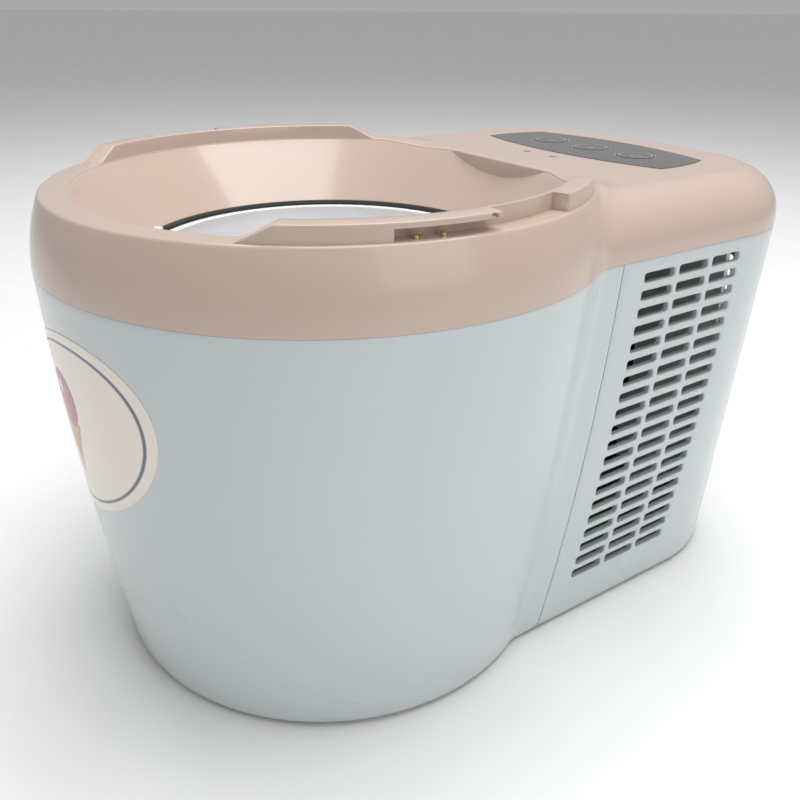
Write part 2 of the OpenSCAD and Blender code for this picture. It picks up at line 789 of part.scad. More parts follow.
module sink_holes(r, y, h) {
    for (x = [-sink_hole, sink_hole]) for (z = [cooler_z - sink_hole, cooler_z + sink_hole])
        translate([x, y, z]) rotate([-90, 0, 0]) cylinder(r = r, h = h);
}

module heat_sink() {
    low = cooler_z - sink_side / 2;
    pitch = (sink_side - fin_t) / (fin_count - 1);
    color("#9aa0a5") place() difference() {
        union() {
            translate([-sink_side / 2, sink_y, low]) cube([sink_side, sink_base_t, sink_side]);
            for (i = [0:fin_count - 1]) translate([-sink_side / 2, fin_y - 0.5, low + i * pitch])
                cube([sink_side, fin_l + 0.5, fin_t]);
        }
        sink_holes(1.7, sink_y - cut, 20);
        sink_holes(3.6, fin_y, fin_l + cut);
    }
}

module heat_sink_screws() {
    color("silver") place() for (x = [-sink_hole, sink_hole])
        for (z = [cooler_z - sink_hole, cooler_z + sink_hole])
            translate([x, fin_y, z]) rotate([90, 0, 0]) pan_screw(2.8, 2.2, 1.5, fin_y - pad_face_y + 7);
}

module fan_corners(r, y, h) {
    for (x = [-fan_screw_at, fan_screw_at]) for (z = [cooler_z - fan_screw_at, cooler_z + fan_screw_at])
        translate([x, y, z]) rotate([-90, 0, 0]) cylinder(r = r, h = h);
}

module fan_baffle() {
    color("#f2f3f3") place() difference() {
        union() {
            intersection() {
                body_solid(wall + 0.4);
                translate([-ring_r, baffle_y, cooler_z - fan_side / 2 - 2])
                    cube([2 * ring_r, baffle_t, shell_h - 3 - cooler_z + fan_side / 2 + 2]);
            }
            for (x = [-61, 49]) translate([x, baffle_y, base_top]) cube([12, baffle_t, 36]);
        }
        translate([0, baffle_y - cut, cooler_z]) rotate([-90, 0, 0]) cylinder(r = fan_hole_r, h = 10);
        fan_corners(1.6, baffle_y - cut, 10);
    }
}

shaft_r = 1.5;

module fan_frame() {
    hub_y = fan_y + fan_d - 4;
    color("#2a2b2d") place() difference() {
        union() {
            difference() {
                translate([-fan_side / 2, fan_y, cooler_z - fan_side / 2]) cube([fan_side, fan_d, fan_side]);
                translate([0, fan_y - cut, cooler_z]) rotate([-90, 0, 0]) cylinder(r = fan_hole_r, h = fan_d + 5);
            }
            for (a = [45:90:315]) translate([0, hub_y, cooler_z]) rotate([0, a, 0])
                translate([14, 0.3, -2]) cube([fan_hole_r - 12, 3.4, 4]);
            translate([0, hub_y, cooler_z]) rotate([-90, 0, 0]) cylinder(r = 18, h = 4);
            translate([0, hub_y - 9, cooler_z]) rotate([-90, 0, 0]) cylinder(r = 4, h = 11);
        }
        translate([0, hub_y - 10, cooler_z]) rotate([-90, 0, 0]) cylinder(r = shaft_r + pin_clear, h = 11.5);
        fan_corners(2.1, fan_y - cut, fan_d + 5);
    }
}

module fan_rotor() {
    hub_r = 17;
    tip_r = fan_hole_r - 1.3;
    front_y = fan_y + 2;
    color("#37393c") place() translate([0, front_y, cooler_z]) {
        difference() {
            rotate([-90, 0, 0]) cylinder(r = hub_r, h = 18);
            translate([0, 2, 0]) rotate([-90, 0, 0]) cylinder(r = hub_r - 1.6, h = 20);
        }
        translate([0, 1, 0]) rotate([-90, 0, 0]) cylinder(r = shaft_r, h = 19);
        intersection() {
            union() for (i = [0:blade_count - 1]) rotate([0, i * 360 / blade_count, 0])
                translate([hub_r - 0.4, 8.5, 0]) rotate([38, 0, 0]) translate([0, -9.5, -0.8])
                    cube([tip_r, 19, 1.6]);
            rotate([-90, 0, 0]) cylinder(r = tip_r, h = 17);
        }
    }
}

module fan_screws() {
    color("silver") place() for (x = [-fan_screw_at, fan_screw_at])
        for (z = [cooler_z - fan_screw_at, cooler_z + fan_screw_at])
            translate([x, fan_y + fan_d, z]) rotate([90, 0, 0]) pan_screw(3, 1.8, 1.5, fan_d + baffle_t + 3);
}

// ---------------------------------------------------------------- power supply and leads

power_top = power_board_z + board_t;
plug_h = 8;
ribbon_x = -27;
ribbon_end_x = -20;

module power_board() {
    color("#3a6f47") place() difference() {
        union() {
            translate([-power_board_x, power_board_y0, power_board_z])
                cube([2 * power_board_x, power_board_y1 - power_board_y0, board_t]);
            for (x = [-6, ribbon_end_x - 6])
                translate([x, power_board_y1 - 12, power_top]) cube([12, 8, plug_h]);
            translate([40, power_board_y1 - 26, power_top]) cube([8, 10, 7]);
            translate([-48, power_board_y1 - 26, power_top]) cube([8, 10, 7]);
        }
        for (p = power_board_holes) translate([p[0], p[1], power_board_z - cut])
            cylinder(r = screw_r + 0.2, h = board_t + 2 * cut);
    }
}

module transformer() {
    color("#c9a13b") place() translate([-14, power_board_y0 + 8, power_top]) {
        cube([28, 22, 4]);
        translate([3, 2, 4]) cube([22, 18, 9]);
        translate([0, 0, 13]) cube([28, 22, 4]);
    }
}

module capacitors() {
    color("#2a3d66") place() for (x = [-34, -22, 24]) translate([x, power_board_y0 + 14, power_top])
        cylinder(r = 5, h = 17);
}

module switching_heat_sink() {
    color("#a4a9ad") place() translate([34, power_board_y0 + 5, power_top]) {
        cube([3, 18, 18]);
        for (y = [0, 5, 10, 15]) translate([3, y, 0]) cube([8, 1.5, 18]);
    }
}

module power_board_screws() {
    color("silver") place() for (p = power_board_holes) translate([p[0], p[1], power_top])
        rotate([180, 0, 0]) pan_screw(2.6, 1.6, screw_r - 0.35, board_t + 5);
}

inlet_d = 18;
inlet_pin_r = 1.2;
inlet_pin_x = 4.3;

module mains_inlet() {
    color("#262626") place() difference() {
        union() {
            translate([-inlet_w / 2, inlet_pad_y - inlet_d, inlet_z - inlet_h / 2]) cube([inlet_w, inlet_d + 1, inlet_h]);
            translate([-inlet_w / 2 - 4, inlet_pad_y, inlet_z - inlet_h / 2 - 3]) cube([inlet_w + 8, 1.8, inlet_h + 6]);
        }
        for (x = [-inlet_pin_x, inlet_pin_x]) translate([x, inlet_pad_y - 13, inlet_z]) rotate([-90, 0, 0])
            cylinder(r = 3.9, h = 20);
        translate([-inlet_pin_x, inlet_pad_y - 13, inlet_z - 3.1]) cube([2 * inlet_pin_x, 20, 6.2]);
        for (x = [-inlet_pin_x, inlet_pin_x]) translate([x, inlet_pad_y - 30, inlet_z]) rotate([-90, 0, 0])
            cylinder(r = inlet_pin_r, h = 20);
    }
}

module inlet_pins() {
    color("#c8b98a") place() for (x = [-inlet_pin_x, inlet_pin_x])
        translate([x, inlet_pad_y - inlet_d - 3, inlet_z]) rotate([-90, 0, 0]) cylinder(r = inlet_pin_r, h = 17);
}

lead_d = 2.4;

module inlet_leads() {
    tail_y = inlet_pad_y - inlet_d - 3;
    color("#5a4a3c") place() for (x = [-inlet_pin_x, inlet_pin_x]) tube([
        [x, tail_y, inlet_z], [x, tail_y - 5, inlet_z], [x, tail_y - 10, inlet_z - 2], [x, tail_y - 14, inlet_z - 7],
        [x, tail_y - 19, inlet_z - 9.5], [x, 136, inlet_z - 9.5], [x * 0.9, 128, inlet_z - 8],
        [x * 0.7, power_board_y1 + 2, inlet_z - 6.4], [x * 0.7, power_board_y1 - 4, inlet_z - 6.4]
    ], lead_d, lead_d);
}

module fan_lead() {
    x = 38;
    end_y = power_board_y1 - 21;
    color("#d6a23a") place() tube([
        [x, fan_y + 12, cooler_z - fan_side / 2], [x, fan_y + 12, 34], [x + 1, fan_y + 10, 29],
        [x + 3, fan_y + 4, 26], [x + 5, fan_y - 4, 25.5], [x + 6, 116, 25.5], [x + 6, end_y + 5, 25],
        [x + 6, end_y + 1, 23.5], [x + 6, end_y, power_top + 8.5], [x + 6, end_y, power_top + 7]
    ], 2.2, 2.2);
}

module cooler_leads() {
    start_z = cooler_z - module_side / 2;
    lead_y = module_y + module_t / 2;
    end_y = power_board_y1 - 8;
    for (side = [-1, 1]) color(side < 0 ? "#b02a26" : "#26282b") place() tube([
        [side * 12, lead_y, start_z], [side * 12, lead_y, start_z - 8], [side * 12, lead_y, 44],
        [side * 12, lead_y + 1, 38], [side * 11, lead_y + 5, 35], [side * 9, lead_y + 14, 34.6],
        [side * 6, lead_y + 24, 33.5], [side * 3.5, end_y - 6, 30], [side * 3, end_y - 1, 26],
        [side * 3, end_y, power_top + plug_h + 2], [side * 3, end_y, power_top + plug_h]
    ], lead_d - 0.4, lead_d - 0.4);
}

module panel_ribbon() {
    x = ribbon_x;
    y = board_y1 - 4.5;
    end_y = power_board_y1 - 8;
    color("#c9ccd1") place() tube([
        [x, y, board_z - 5], [x, y, board_z - 9], [x, y + 3, board_z - 14], [x, y + 5, board_z - 20],
        [x, y + 5, 90], [x, y + 5, 44], [x, y + 3, 30], [x + 3, y - 6, 24], [x + 8, y - 18, 22],
        [ribbon_end_x, end_y + 16, 24], [ribbon_end_x, end_y + 8, 26],
        [ribbon_end_x, end_y, power_top + plug_h + 3.4], [ribbon_end_x, end_y, power_top + plug_h]
    ], 1.2, 8, 4, [1, 0, 0]);
}

// ---------------------------------------------------------------- contacts for the lid

contact_stand = 1.2;
contact_block_h = 12;

module lid_contact_block() {
    low = deck_under - contact_block_h;
    color("#1f1f1f") place() difference() {
        sector(contact_r - 2.1, contact_r + 1.9, low, deck_under, contact_angles[0] - 3, contact_angles[1] + 3);
        for (a = contact_angles) rotate(a) translate([contact_r, 0, low + 2]) {
            cylinder(r = contact_pin_r + pin_clear, h = 20, $fn = 32);
            cylinder(r = contact_pin_r + 0.45, h = contact_block_h - 4, $fn = 32);
        }
    }
}

module lid_contact(a) {
    low = deck_under - contact_block_h;
    color("#d8b45a") place() rotate(a) translate([contact_r, 0, 0]) {
        translate([0, 0, low + 5]) cylinder(r = contact_pin_r, h = ring_top + contact_stand - low - 5.4, $fn = 32);
        translate([0, 0, ring_top + contact_stand - 0.4])
            cylinder(r1 = contact_pin_r, r2 = contact_pin_r - 0.4, h = 0.4, $fn = 32);
        translate([0, 0, low + 7]) cylinder(r = contact_pin_r + 0.4, h = 1.5, $fn = 32);
    }
}

// ---------------------------------------------------------------- output

top_cover();
control_panel();
key(key_x[0]);  // key_left
key(key_x[1]);  // key_middle
key(key_x[2]);  // key_right
indicator_lenses();
front_shell();
rear_shell();
base_plate();
feet();
case_screws();
emblem();
ice_cream_bowl();
bowl_bail();
pot_seal();
cooling_pot();
pot_insulation();
temperature_sensor();
cooling_module();
thermal_pads();
heat_sink();
heat_sink_screws();
fan_baffle();
fan_frame();
fan_rotor();
fan_screws();
control_board();
key_switches();
indicator_lamps();
control_board_screws();
power_board();
transformer();
capacitors();
switching_heat_sink();
power_board_screws();
mains_inlet();
inlet_pins();
inlet_leads();
fan_lead();
cooler_leads();
panel_ribbon();
lid_contact_block();
lid_contact(contact_angles[0]);  // lid_contact_front
lid_contact(contact_angles[1]);  // lid_contact_rear
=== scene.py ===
# %% [markdown]
# # A countertop ice cream maker
# The machine is a round bowl housing with a rose coloured collar, joined to a tower that holds the cooler.
# The engineering model of it is already finished: every piece has its place, its size and its joint.
# Here we give it its looks. The large curved mouldings are built again as fine meshes from the same rules,
# and every other piece keeps its engineering shape and gets a proper material.

# %% Load the frame
import math

import bmesh
import bpy
import numpy as np
from mathutils import Matrix, Vector


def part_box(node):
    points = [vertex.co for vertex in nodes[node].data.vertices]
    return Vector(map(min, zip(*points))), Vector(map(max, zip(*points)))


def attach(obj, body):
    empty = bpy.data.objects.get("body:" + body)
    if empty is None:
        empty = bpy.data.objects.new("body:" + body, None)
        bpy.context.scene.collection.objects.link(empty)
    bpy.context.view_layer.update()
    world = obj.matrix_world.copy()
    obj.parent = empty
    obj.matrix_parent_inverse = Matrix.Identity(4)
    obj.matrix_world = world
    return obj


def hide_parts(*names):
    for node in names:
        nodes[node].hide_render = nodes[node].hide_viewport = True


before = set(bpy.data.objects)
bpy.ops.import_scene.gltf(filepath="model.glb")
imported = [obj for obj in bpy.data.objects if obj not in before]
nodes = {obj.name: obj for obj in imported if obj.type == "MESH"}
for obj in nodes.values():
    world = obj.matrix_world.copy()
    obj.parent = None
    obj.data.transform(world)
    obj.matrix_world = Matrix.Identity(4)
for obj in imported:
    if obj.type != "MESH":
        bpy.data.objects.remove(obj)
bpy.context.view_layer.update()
MM = 0.001

# %% [markdown]
# ## Where things are
# All places are read from the frame, so nothing is fitted by eye. The bowl's axis is the machine's main
# centre line: the collar, the funnel and the round housing all turn about it.

# %% Main places
bowl_low, bowl_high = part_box("ice_cream_bowl")
shell_low, shell_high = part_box("front_shell")
axis_y = (bowl_low.y + bowl_high.y) / 2
foot_z = shell_low.z
seam_z = shell_high.z
print("bowl axis at y =", round(axis_y / MM, 2), "mm; collar starts at", round(seam_z / MM, 2), "mm")

# %% [markdown]
# ## Camera
# The camera stands in front and to the right, a little above the machine, at arm's length.
# A short distance gives the strong perspective of a product picture taken by hand.

# %% Camera
CAMERA_AT = Vector((262.0, -147.7, 227.9)) * MM + Vector((0, axis_y, foot_z))
CAMERA_AZIMUTH = math.radians(55.906)
CAMERA_ELEVATION = math.radians(21.947)
CAMERA_ROLL = math.radians(0.389)
back = Vector((
    math.sin(CAMERA_AZIMUTH) * math.cos(CAMERA_ELEVATION),
    -math.cos(CAMERA_AZIMUTH) * math.cos(CAMERA_ELEVATION),
    math.sin(CAMERA_ELEVATION),
))
camera_data = bpy.data.cameras.new("camera")
camera_data.lens = 37.92
camera_data.sensor_width = 36
camera_data.shift_x = 0.0099
camera_data.shift_y = -0.075
camera_data.clip_start = 0.01
camera = bpy.data.objects.new("camera", camera_data)
turn = (-back).to_track_quat("-Z", "Y").to_matrix().to_4x4() @ Matrix.Rotation(CAMERA_ROLL, 4, "Z")
camera.matrix_world = Matrix.Translation(CAMERA_AT) @ turn
bpy.context.scene.collection.objects.link(camera)
bpy.context.scene.camera = camera
print("camera at", [round(v, 3) for v in CAMERA_AT])

# %% [markdown]
# ## Node expressions
# Materials and Geometry Nodes share the same Math nodes. A small class wraps one output of a node and
# overloads Python's operators, so that `1 - mask * 0.5` adds its Math nodes by itself.
# Every other node comes from one method, `node`.

# %% Node expressions
def operator(operation, swapped=False):
    """A Python operator that adds a Math node."""
    def apply(self, other=0.0):
        pair = (other, self) if swapped else (self, other)
        return self.sheet.math(operation, *pair)
    return apply


class Wire:
    """One output of a node, which Python operators can work on."""

    def __init__(self, sheet, socket):
        self.sheet = sheet
        self.socket = socket

    __add__ = __radd__ = operator("ADD")
    __mul__ = __rmul__ = operator("MULTIPLY")
    __sub__ = operator("SUBTRACT")
    __rsub__ = operator("SUBTRACT", swapped=True)
    __truediv__ = operator("DIVIDE")
    __rtruediv__ = operator("DIVIDE", swapped=True)
    __abs__ = operator("ABSOLUTE")


class Sheet:
    """A node tree that is written as expressions."""

    def __init__(self, tree):
        self.tree = tree

    def node(self, kind, inputs=None, out=0, stops=None, **settings):
        made = self.tree.nodes.new(kind)
        for name, value in settings.items():
            setattr(made, name, value)
        if stops:
            ramp = made.color_ramp
            while len(ramp.elements) < len(stops):
                ramp.elements.new(0.5)
            for element, (place, colour) in zip(ramp.elements, stops):
                element.position = place
                element.color = (*colour, 1)
        for key, value in (inputs or {}).items():
            if isinstance(value, Wire):
                self.tree.links.new(value.socket, made.inputs[key])
            else:
                made.inputs[key].default_value = value
        return Wire(self, made.outputs[out])

    def math(self, operation, *values):
        return self.node("ShaderNodeMath", dict(enumerate(values)), operation=operation)

    def smooth(self, value, low, high):
        """0 below low, 1 above high, and a soft step between them."""
        return self.node(
            "ShaderNodeMapRange", {"Value": value, "From Min": low, "From Max": high},
            interpolation_type="SMOOTHSTEP",
        )


print("node expressions ready")

# %% [markdown]
# ## Materials
# Real plastic is never one flat colour. A moulded part has a faint unevenness in its colour, a roughness
# that changes where fingers touch it, and a very fine waviness left by the mould. `Finish` starts a
# material with those three, all worked out from Object coordinates so that they stay where they are
# when the piece moves. Special finishes add their own pattern to the same sheet.

# %% Material base
class Finish(Sheet):
    """A material with a Principled shader and helpers for colour, roughness and bump."""

    def __init__(self, name, colour, rough, metal=0.0, coat=0.0, specular=0.5):
        self.material = bpy.data.materials.new(name)
        self.material.use_nodes = True
        super().__init__(self.material.node_tree)
        self.shader = self.tree.nodes["Principled BSDF"]
        self.shader.inputs["Base Color"].default_value = (*colour, 1)
        self.shader.inputs["Roughness"].default_value = rough
        self.shader.inputs["Metallic"].default_value = metal
        self.shader.inputs["Coat Weight"].default_value = coat
        self.shader.inputs["Coat Roughness"].default_value = 0.06
        self.shader.inputs["Specular IOR Level"].default_value = specular
        self.colour = colour
        self.rough = rough
        self.place = self.node("ShaderNodeTexCoord", out="Object")

    def noise(self, scale, detail=3.0, vector=None):
        return self.node(
            "ShaderNodeTexNoise", {"Vector": vector or self.place, "Scale": scale, "Detail": detail},
        )

    def split(self, vector=None):
        """The x, y and z of a vector."""
        made = self.node("ShaderNodeSeparateXYZ", {0: vector or self.place}).socket.node
        return [Wire(self, made.outputs[i]) for i in range(3)]

    def scaled(self, factors):
        """Object coordinates with each direction stretched."""
        return self.node("ShaderNodeMapping", {"Vector": self.place, "Scale": factors})

    def mix(self, factor, first, second):
        def full(colour):
            return colour if isinstance(colour, Wire) else (*colour, 1)
        return self.node(
            "ShaderNodeMix", {0: factor, 6: full(first), 7: full(second)}, out=2, data_type="RGBA",
        )

    def put(self, socket, value):
        self.tree.links.new(value.socket, self.shader.inputs[socket])
        return self

    def bump(self, height, depth, strength=1.0):
        return self.put("Normal", self.node(
            "ShaderNodeBump", {"Height": height, "Distance": depth, "Strength": strength},
        ))

    def uneven(self, amount=0.04, scale=18.0, detail=3.0):
        """Faint lighter and darker areas."""
        dark = tuple(c * (1 - amount) for c in self.colour)
        light = tuple(min(1, c * (1 + amount)) for c in self.colour)
        return self.put("Base Color", self.mix(self.noise(scale, detail), dark, light))

    def worn(self, spread=0.08, scale=45.0):
        """Roughness that wanders about its value."""
        return self.put("Roughness", self.rough - spread / 2 + self.noise(scale, 4.0) * spread)

    def grain(self, scale, depth, detail=2.0):
        return self.bump(self.noise(scale, detail), depth)


def moulded(name, colour, rough, coat=0.0, scale=900.0, depth=0.00002):
    """Plain moulded plastic, rubber or resin."""
    return Finish(name, colour, rough, coat=coat).uneven().worn().grain(scale, depth)


def put_on(material, *names):
    """Gives CAD nodes their material."""
    for name in names:
        slots = nodes[name].data.materials
        slots.clear()
        slots.append(material)


print("material base ready")

# %% [markdown]
# ## The two body plastics
# The collar is polished rose ABS and the shells are polished white ABS. Both are glossy with long soft
# reflections. A very low and wide waviness bends the reflections the way a real moulding does.

# %% Body plastics
ROSE = (0.565, 0.437, 0.368)
WHITE = (0.560, 0.608, 0.616)


def polished(name, colour, rough):
    made = Finish(name, colour, rough, coat=0.35)
    made.uneven(0.02, 6.0, 0.0)
    made.put("Roughness", rough - 0.015 + made.noise(14.0, 0.0) * 0.03)
    made.bump(made.noise(9.0, 0.0), 0.0006, 0.16)
    return made.material


rose_plastic = polished("rose_plastic", ROSE, 0.24)
white_plastic = polished("white_plastic", WHITE, 0.27)
print("body plastics:", rose_plastic.name, white_plastic.name)

# %% [markdown]
# ## Metals
# The bowl is spun aluminium with a satin finish: fine rings run round its axis. Distance from the axis and
# height come from Object coordinates, because the bowl's own object sits at the origin.

# %% Metals
def satin_metal(name, colour, rough, ring_scale=2600.0, metal=1.0):
    """Turned metal with fine rings round the bowl's axis."""
    made = Finish(name, colour, rough, metal=metal)
    x, y, z = made.split()
    radius = made.math("SQRT", x * x + (y - axis_y) * (y - axis_y))
    rings = made.node("ShaderNodeCombineXYZ", {0: radius, 2: z})
    lines = made.noise(ring_scale, 2.0, rings)
    cloud = made.noise(22.0, 3.0)
    made.put("Roughness", rough - 0.05 + lines * 0.08 + cloud * 0.06)
    made.put("Base Color", made.mix(cloud, tuple(c * 0.94 for c in colour), colour))
    made.bump(lines, 0.00001)
    return made.material


def extruded_metal(name, colour, rough, factors):
    """Metal with fine lines along one direction."""
    made = Finish(name, colour, rough, metal=1.0).uneven(0.06, 30.0)
    lines = made.noise(1.0, 2.0, made.scaled(factors))
    made.put("Roughness", rough - 0.06 + lines * 0.14)
    return made.bump(lines, 0.00003).material


bowl_metal = satin_metal("bowl_aluminium", (0.97, 0.985, 1.0), 0.44, metal=0.55)
pot_metal = satin_metal("pot_aluminium", (0.70, 0.72, 0.74), 0.48, 900.0)
sink_metal = extruded_metal("sink_aluminium", (0.016, 0.016, 0.017), 0.66, (60, 900, 900))
bail_metal = extruded_metal("bail_steel", (0.66, 0.67, 0.68), 0.22, (500, 500, 500))
screw_metal = extruded_metal("screw_steel", (0.55, 0.55, 0.56), 0.38, (700, 700, 300))
pin_metal = extruded_metal("pin_brass", (0.83, 0.62, 0.26), 0.28, (400, 400, 900))
print("metals ready")

# %% [markdown]
# ## Floor and light
# A pale floor and a white surround stand for a product table. Three large soft lamps light it: a faint one
# high on the left, one on the right, and the main one above. Large lamps give the long soft reflections
# that show how glossy a moulded shell is.

# %% Floor and light
bpy.context.scene.view_settings.view_transform = "Standard"


def soft_lamp(name, place, aim, size, watts):
    lamp_data = bpy.data.lights.new(name, "AREA")
    lamp_data.shape = "RECTANGLE"
    lamp_data.size, lamp_data.size_y = size
    lamp_data.energy = watts
    lamp = bpy.data.objects.new(name, lamp_data)
    facing = (Vector(aim) - Vector(place)).to_track_quat("-Z", "Y").to_matrix().to_4x4()
    lamp.matrix_world = Matrix.Translation(place) @ facing
    bpy.context.scene.collection.objects.link(lamp)


middle = (0, 0, 0.09)
soft_lamp("lamp_left", (-0.75, -0.85, 0.75), middle, (0.7, 0.9), 0.5)
soft_lamp("lamp_right", (1.15, 0.1, 0.65), middle, (0.8, 0.9), 2.8)
soft_lamp("lamp_top", (0.0, 0.15, 1.2), middle, (1.1, 0.9), 14.5)

world = bpy.data.worlds.new("surround")
bpy.context.scene.world = world
world.use_nodes = True
world.node_tree.nodes["Background"].inputs["Color"].default_value = (1, 1, 1, 1)
world.node_tree.nodes["Background"].inputs["Strength"].default_value = 0.40

floor_mesh = bpy.data.meshes.new("floor")
rim = [(20 * math.cos(math.radians(a)), 20 * math.sin(math.radians(a)), 0) for a in range(0, 360, 6)]
floor_mesh.from_pydata(rim, [], [range(len(rim))])
floor = bpy.data.objects.new("floor", floor_mesh)
bpy.context.scene.collection.objects.link(floor)
floor_mesh.materials.append(moulded("floor_card", (0.90, 0.90, 0.90), 0.7).material)
print("floor radius 20 m, three lamps")

# %% [markdown]
# ## From points to a finished piece
# The large mouldings are sheets of points in rows. `sheet_of_rows` joins the rows with faces, and `settle`
# turns a mesh with live modifiers into a plain one, smooth except at its real edges.
# Points are given in millimetres from the bowl's axis and the shells' foot.

# %% Mesh helpers
def to_frame(point):
    """A point in millimetres from the bowl's axis, in the machine's frame."""
    return (point[0] * MM, point[1] * MM + axis_y, point[2] * MM + foot_z)


def sheet_of_rows(rows, closed=True):
    """A bmesh of quads between rows of points that have the same length."""
    made = bmesh.new()
    grid = [[made.verts.new(to_frame(p)) for p in row] for row in rows]
    width = len(rows[0])
    for low, high in zip(grid, grid[1:]):
        for i in range(width if closed else width - 1):
            j = (i + 1) % width
            made.faces.new((low[i], low[j], high[j], high[i]))
    bmesh.ops.remove_doubles(made, verts=made.verts, dist=1e-6)
    return made


def piece(name, shape, material):
    """An object made from a bmesh."""
    mesh = bpy.data.meshes.new(name)
    shape.to_mesh(mesh)
    shape.free()
    made = bpy.data.objects.new(name, mesh)
    bpy.context.scene.collection.objects.link(made)
    mesh.materials.append(material)
    return made


def settle(made, angle=38):
    """Turns the modifiers into plain mesh and shades it smooth except at sharp edges."""
    graph = bpy.context.evaluated_depsgraph_get()
    mesh = bpy.data.meshes.new_from_object(made.evaluated_get(graph), depsgraph=graph)
    made.modifiers.clear()
    made.data = mesh
    mesh.shade_smooth()
    mesh.set_sharp_from_angle(angle=math.radians(angle))
    return made


def wall(made, thickness):
    """Gives a sheet its wall, on the inner side."""
    modifier = made.modifiers.new("wall", "SOLIDIFY")
    modifier.thickness = thickness * MM
    modifier.offset = -1
    modifier.use_even_offset = True
    return settle(made)


def soften(made, width, angle=50):
    """Rounds the sharp edges."""
    modifier = made.modifiers.new("soft_edges", "BEVEL")
    modifier.width = width * MM
    modifier.segments = 2
    modifier.limit_method = "ANGLE"
    modifier.angle_limit = math.radians(angle)
    return settle(made)


def close_up(made):
    """Fills the pinholes that a cut can leave."""
    shape = bmesh.new()
    shape.from_mesh(made.data)
    bmesh.ops.holes_fill(shape, edges=[e for e in shape.edges if e.is_boundary])
    shape.to_mesh(made.data)
    shape.free()
    return made


def cut_away(made, cutter):
    """Takes the cutter's volume out of a piece."""
    modifier = made.modifiers.new("cut", "BOOLEAN")
    modifier.operation = "DIFFERENCE"
    modifier.solver = "EXACT"
    modifier.object = cutter
    settle(made)
    bpy.data.objects.remove(cutter)
    return close_up(made)


print("mesh helpers ready")

# %% [markdown]
# ## One outline for the whole body
# Every level of the machine has the same plan: a round front about the bowl's axis, a soft crease, a flat
# side, a rear corner and a gently bowed back. Only the sizes change with height, so one function draws
# all levels, and neighbouring levels always have matching points.

# %% Outline rule
BOWL_R = 100
BOWL_TAPER = 8.4
BOWL_TUCK = 8.9
TOWER_HALF = 83.0
SIDE_SWELL = 3.0
SIDE_TUCK = 11.6
REAR_REACH = 187.7
REAR_TAPER = 20.0
REAR_SWELL = 16.7
REAR_ARC = 282.0
CORNER_R = 51
CORNER_GROWTH = 6
CREASE_R = 15
SHELL_H = round((seam_z - foot_z) / MM, 2)


def arc(centre, radius, start, end, steps, first=0):
    angles = np.radians(np.linspace(start, end, steps + 1)[first:])
    return [(centre[0] + radius * math.cos(a), centre[1] + radius * math.sin(a)) for a in angles]


def outline(front, side, rear, back, corner, crease):
    """Plan of one level, from the front round the right side, the back and the left side."""
    crease_y = math.sqrt((front + crease) ** 2 - (side + crease) ** 2)
    crease_a = math.degrees(math.atan2(crease_y, side + crease))
    back_y = rear - back
    corner_x = side - corner
    corner_d = math.sqrt((back - corner) ** 2 - corner_x ** 2)
    corner_a = math.degrees(math.atan2(corner_d, corner_x))
    corner_y = back_y + corner_d
    crease_end = (side, crease_y)
    flat = [(side, crease_end[1] + (corner_y - crease_end[1]) * k / 14) for k in range(1, 14)]
    half = arc((0, 0), front, -90, 0, 40)
    half += arc((0, 0), front, 0, crease_a, 18, 1)
    half += arc((side + crease, crease_y), crease, 180 + crease_a, 180, 8, 1)
    half += flat
    half += arc((corner_x, corner_y), corner, 0, corner_a, 26)
    half += arc((0, back_y), back, corner_a, 90, 18, 1)
    return half + [(-x, y) for x, y in half[-2:0:-1]]


def bowl_radius(drop):
    return BOWL_R - BOWL_TAPER * drop - BOWL_TUCK * drop * drop


def side_half(drop):
    return TOWER_HALF + SIDE_SWELL * drop - SIDE_TUCK * drop * drop


def rear_at(drop):
    return REAR_REACH - REAR_TAPER * drop + REAR_SWELL * drop * drop


def shell_level(z):
    """Outline of the white shells at a height."""
    drop = 1 - z / SHELL_H
    corner = CORNER_R + CORNER_GROWTH * drop
    plan = outline(bowl_radius(drop), side_half(drop), rear_at(drop), REAR_ARC, corner, CREASE_R)
    return [(x, y, z) for x, y in plan]


print("points in an outline:", len(shell_level(0)))

# %% [markdown]
# ## White shells
# The lower housing is two mouldings that meet at a leaning joint. Both come from one skin of levels: a
# plane along the joint cuts it in two, each half gets its wall, and the cut edges are softened by half a
# millimetre, as a mould leaves them.

# %% White shells
SEAM_SHIFT = 17.0
SEAM_FOOT = 66.3 - SEAM_SHIFT
SEAM_LEAN = SEAM_SHIFT / SHELL_H
SHELL_GAP = 0.3
SHELL_WALL = 2.4
SHELL_EDGE = 0.45
LEVELS = 56


def half_shell(name, front):
    side = -1 if front else 1
    skin = sheet_of_rows([shell_level(SHELL_H * k / LEVELS) for k in range(LEVELS + 1)])
    bmesh.ops.bisect_plane(
        skin, geom=skin.verts[:] + skin.edges[:] + skin.faces[:],
        plane_co=to_frame((0, SEAM_FOOT + side * SHELL_GAP / 2, 0)),
        plane_no=Vector((0, side, -side * SEAM_LEAN)).normalized(), clear_inner=True,
    )
    return soften(wall(piece(name, skin, white_plastic), SHELL_WALL), SHELL_EDGE)


front_skin = half_shell("front_housing", True)
rear_skin = half_shell("rear_housing", False)
print("front housing faces:", len(front_skin.data.polygons), "rear:", len(rear_skin.data.polygons))

# %% [markdown]
# ## Cooling slots
# Air enters and leaves the tower through rows of slots. One small slot shape with a flared mouth is
# placed by Geometry Nodes: rows and columns follow the shell's own curve. The same tree serves both sides
# and the back, each with its own inputs. The plugs aren't turned to face the bowed back, so the mouths of
# its outer columns are cut unevenly.

# %% Slot shape
SLOT_LONG = 15.9
SLOT_HIGH = 3.6
SLOT_CORNER = 1.1
SLOT_RINGS = ((-7, 0), (-0.35, 0), (0.6, 0.95))


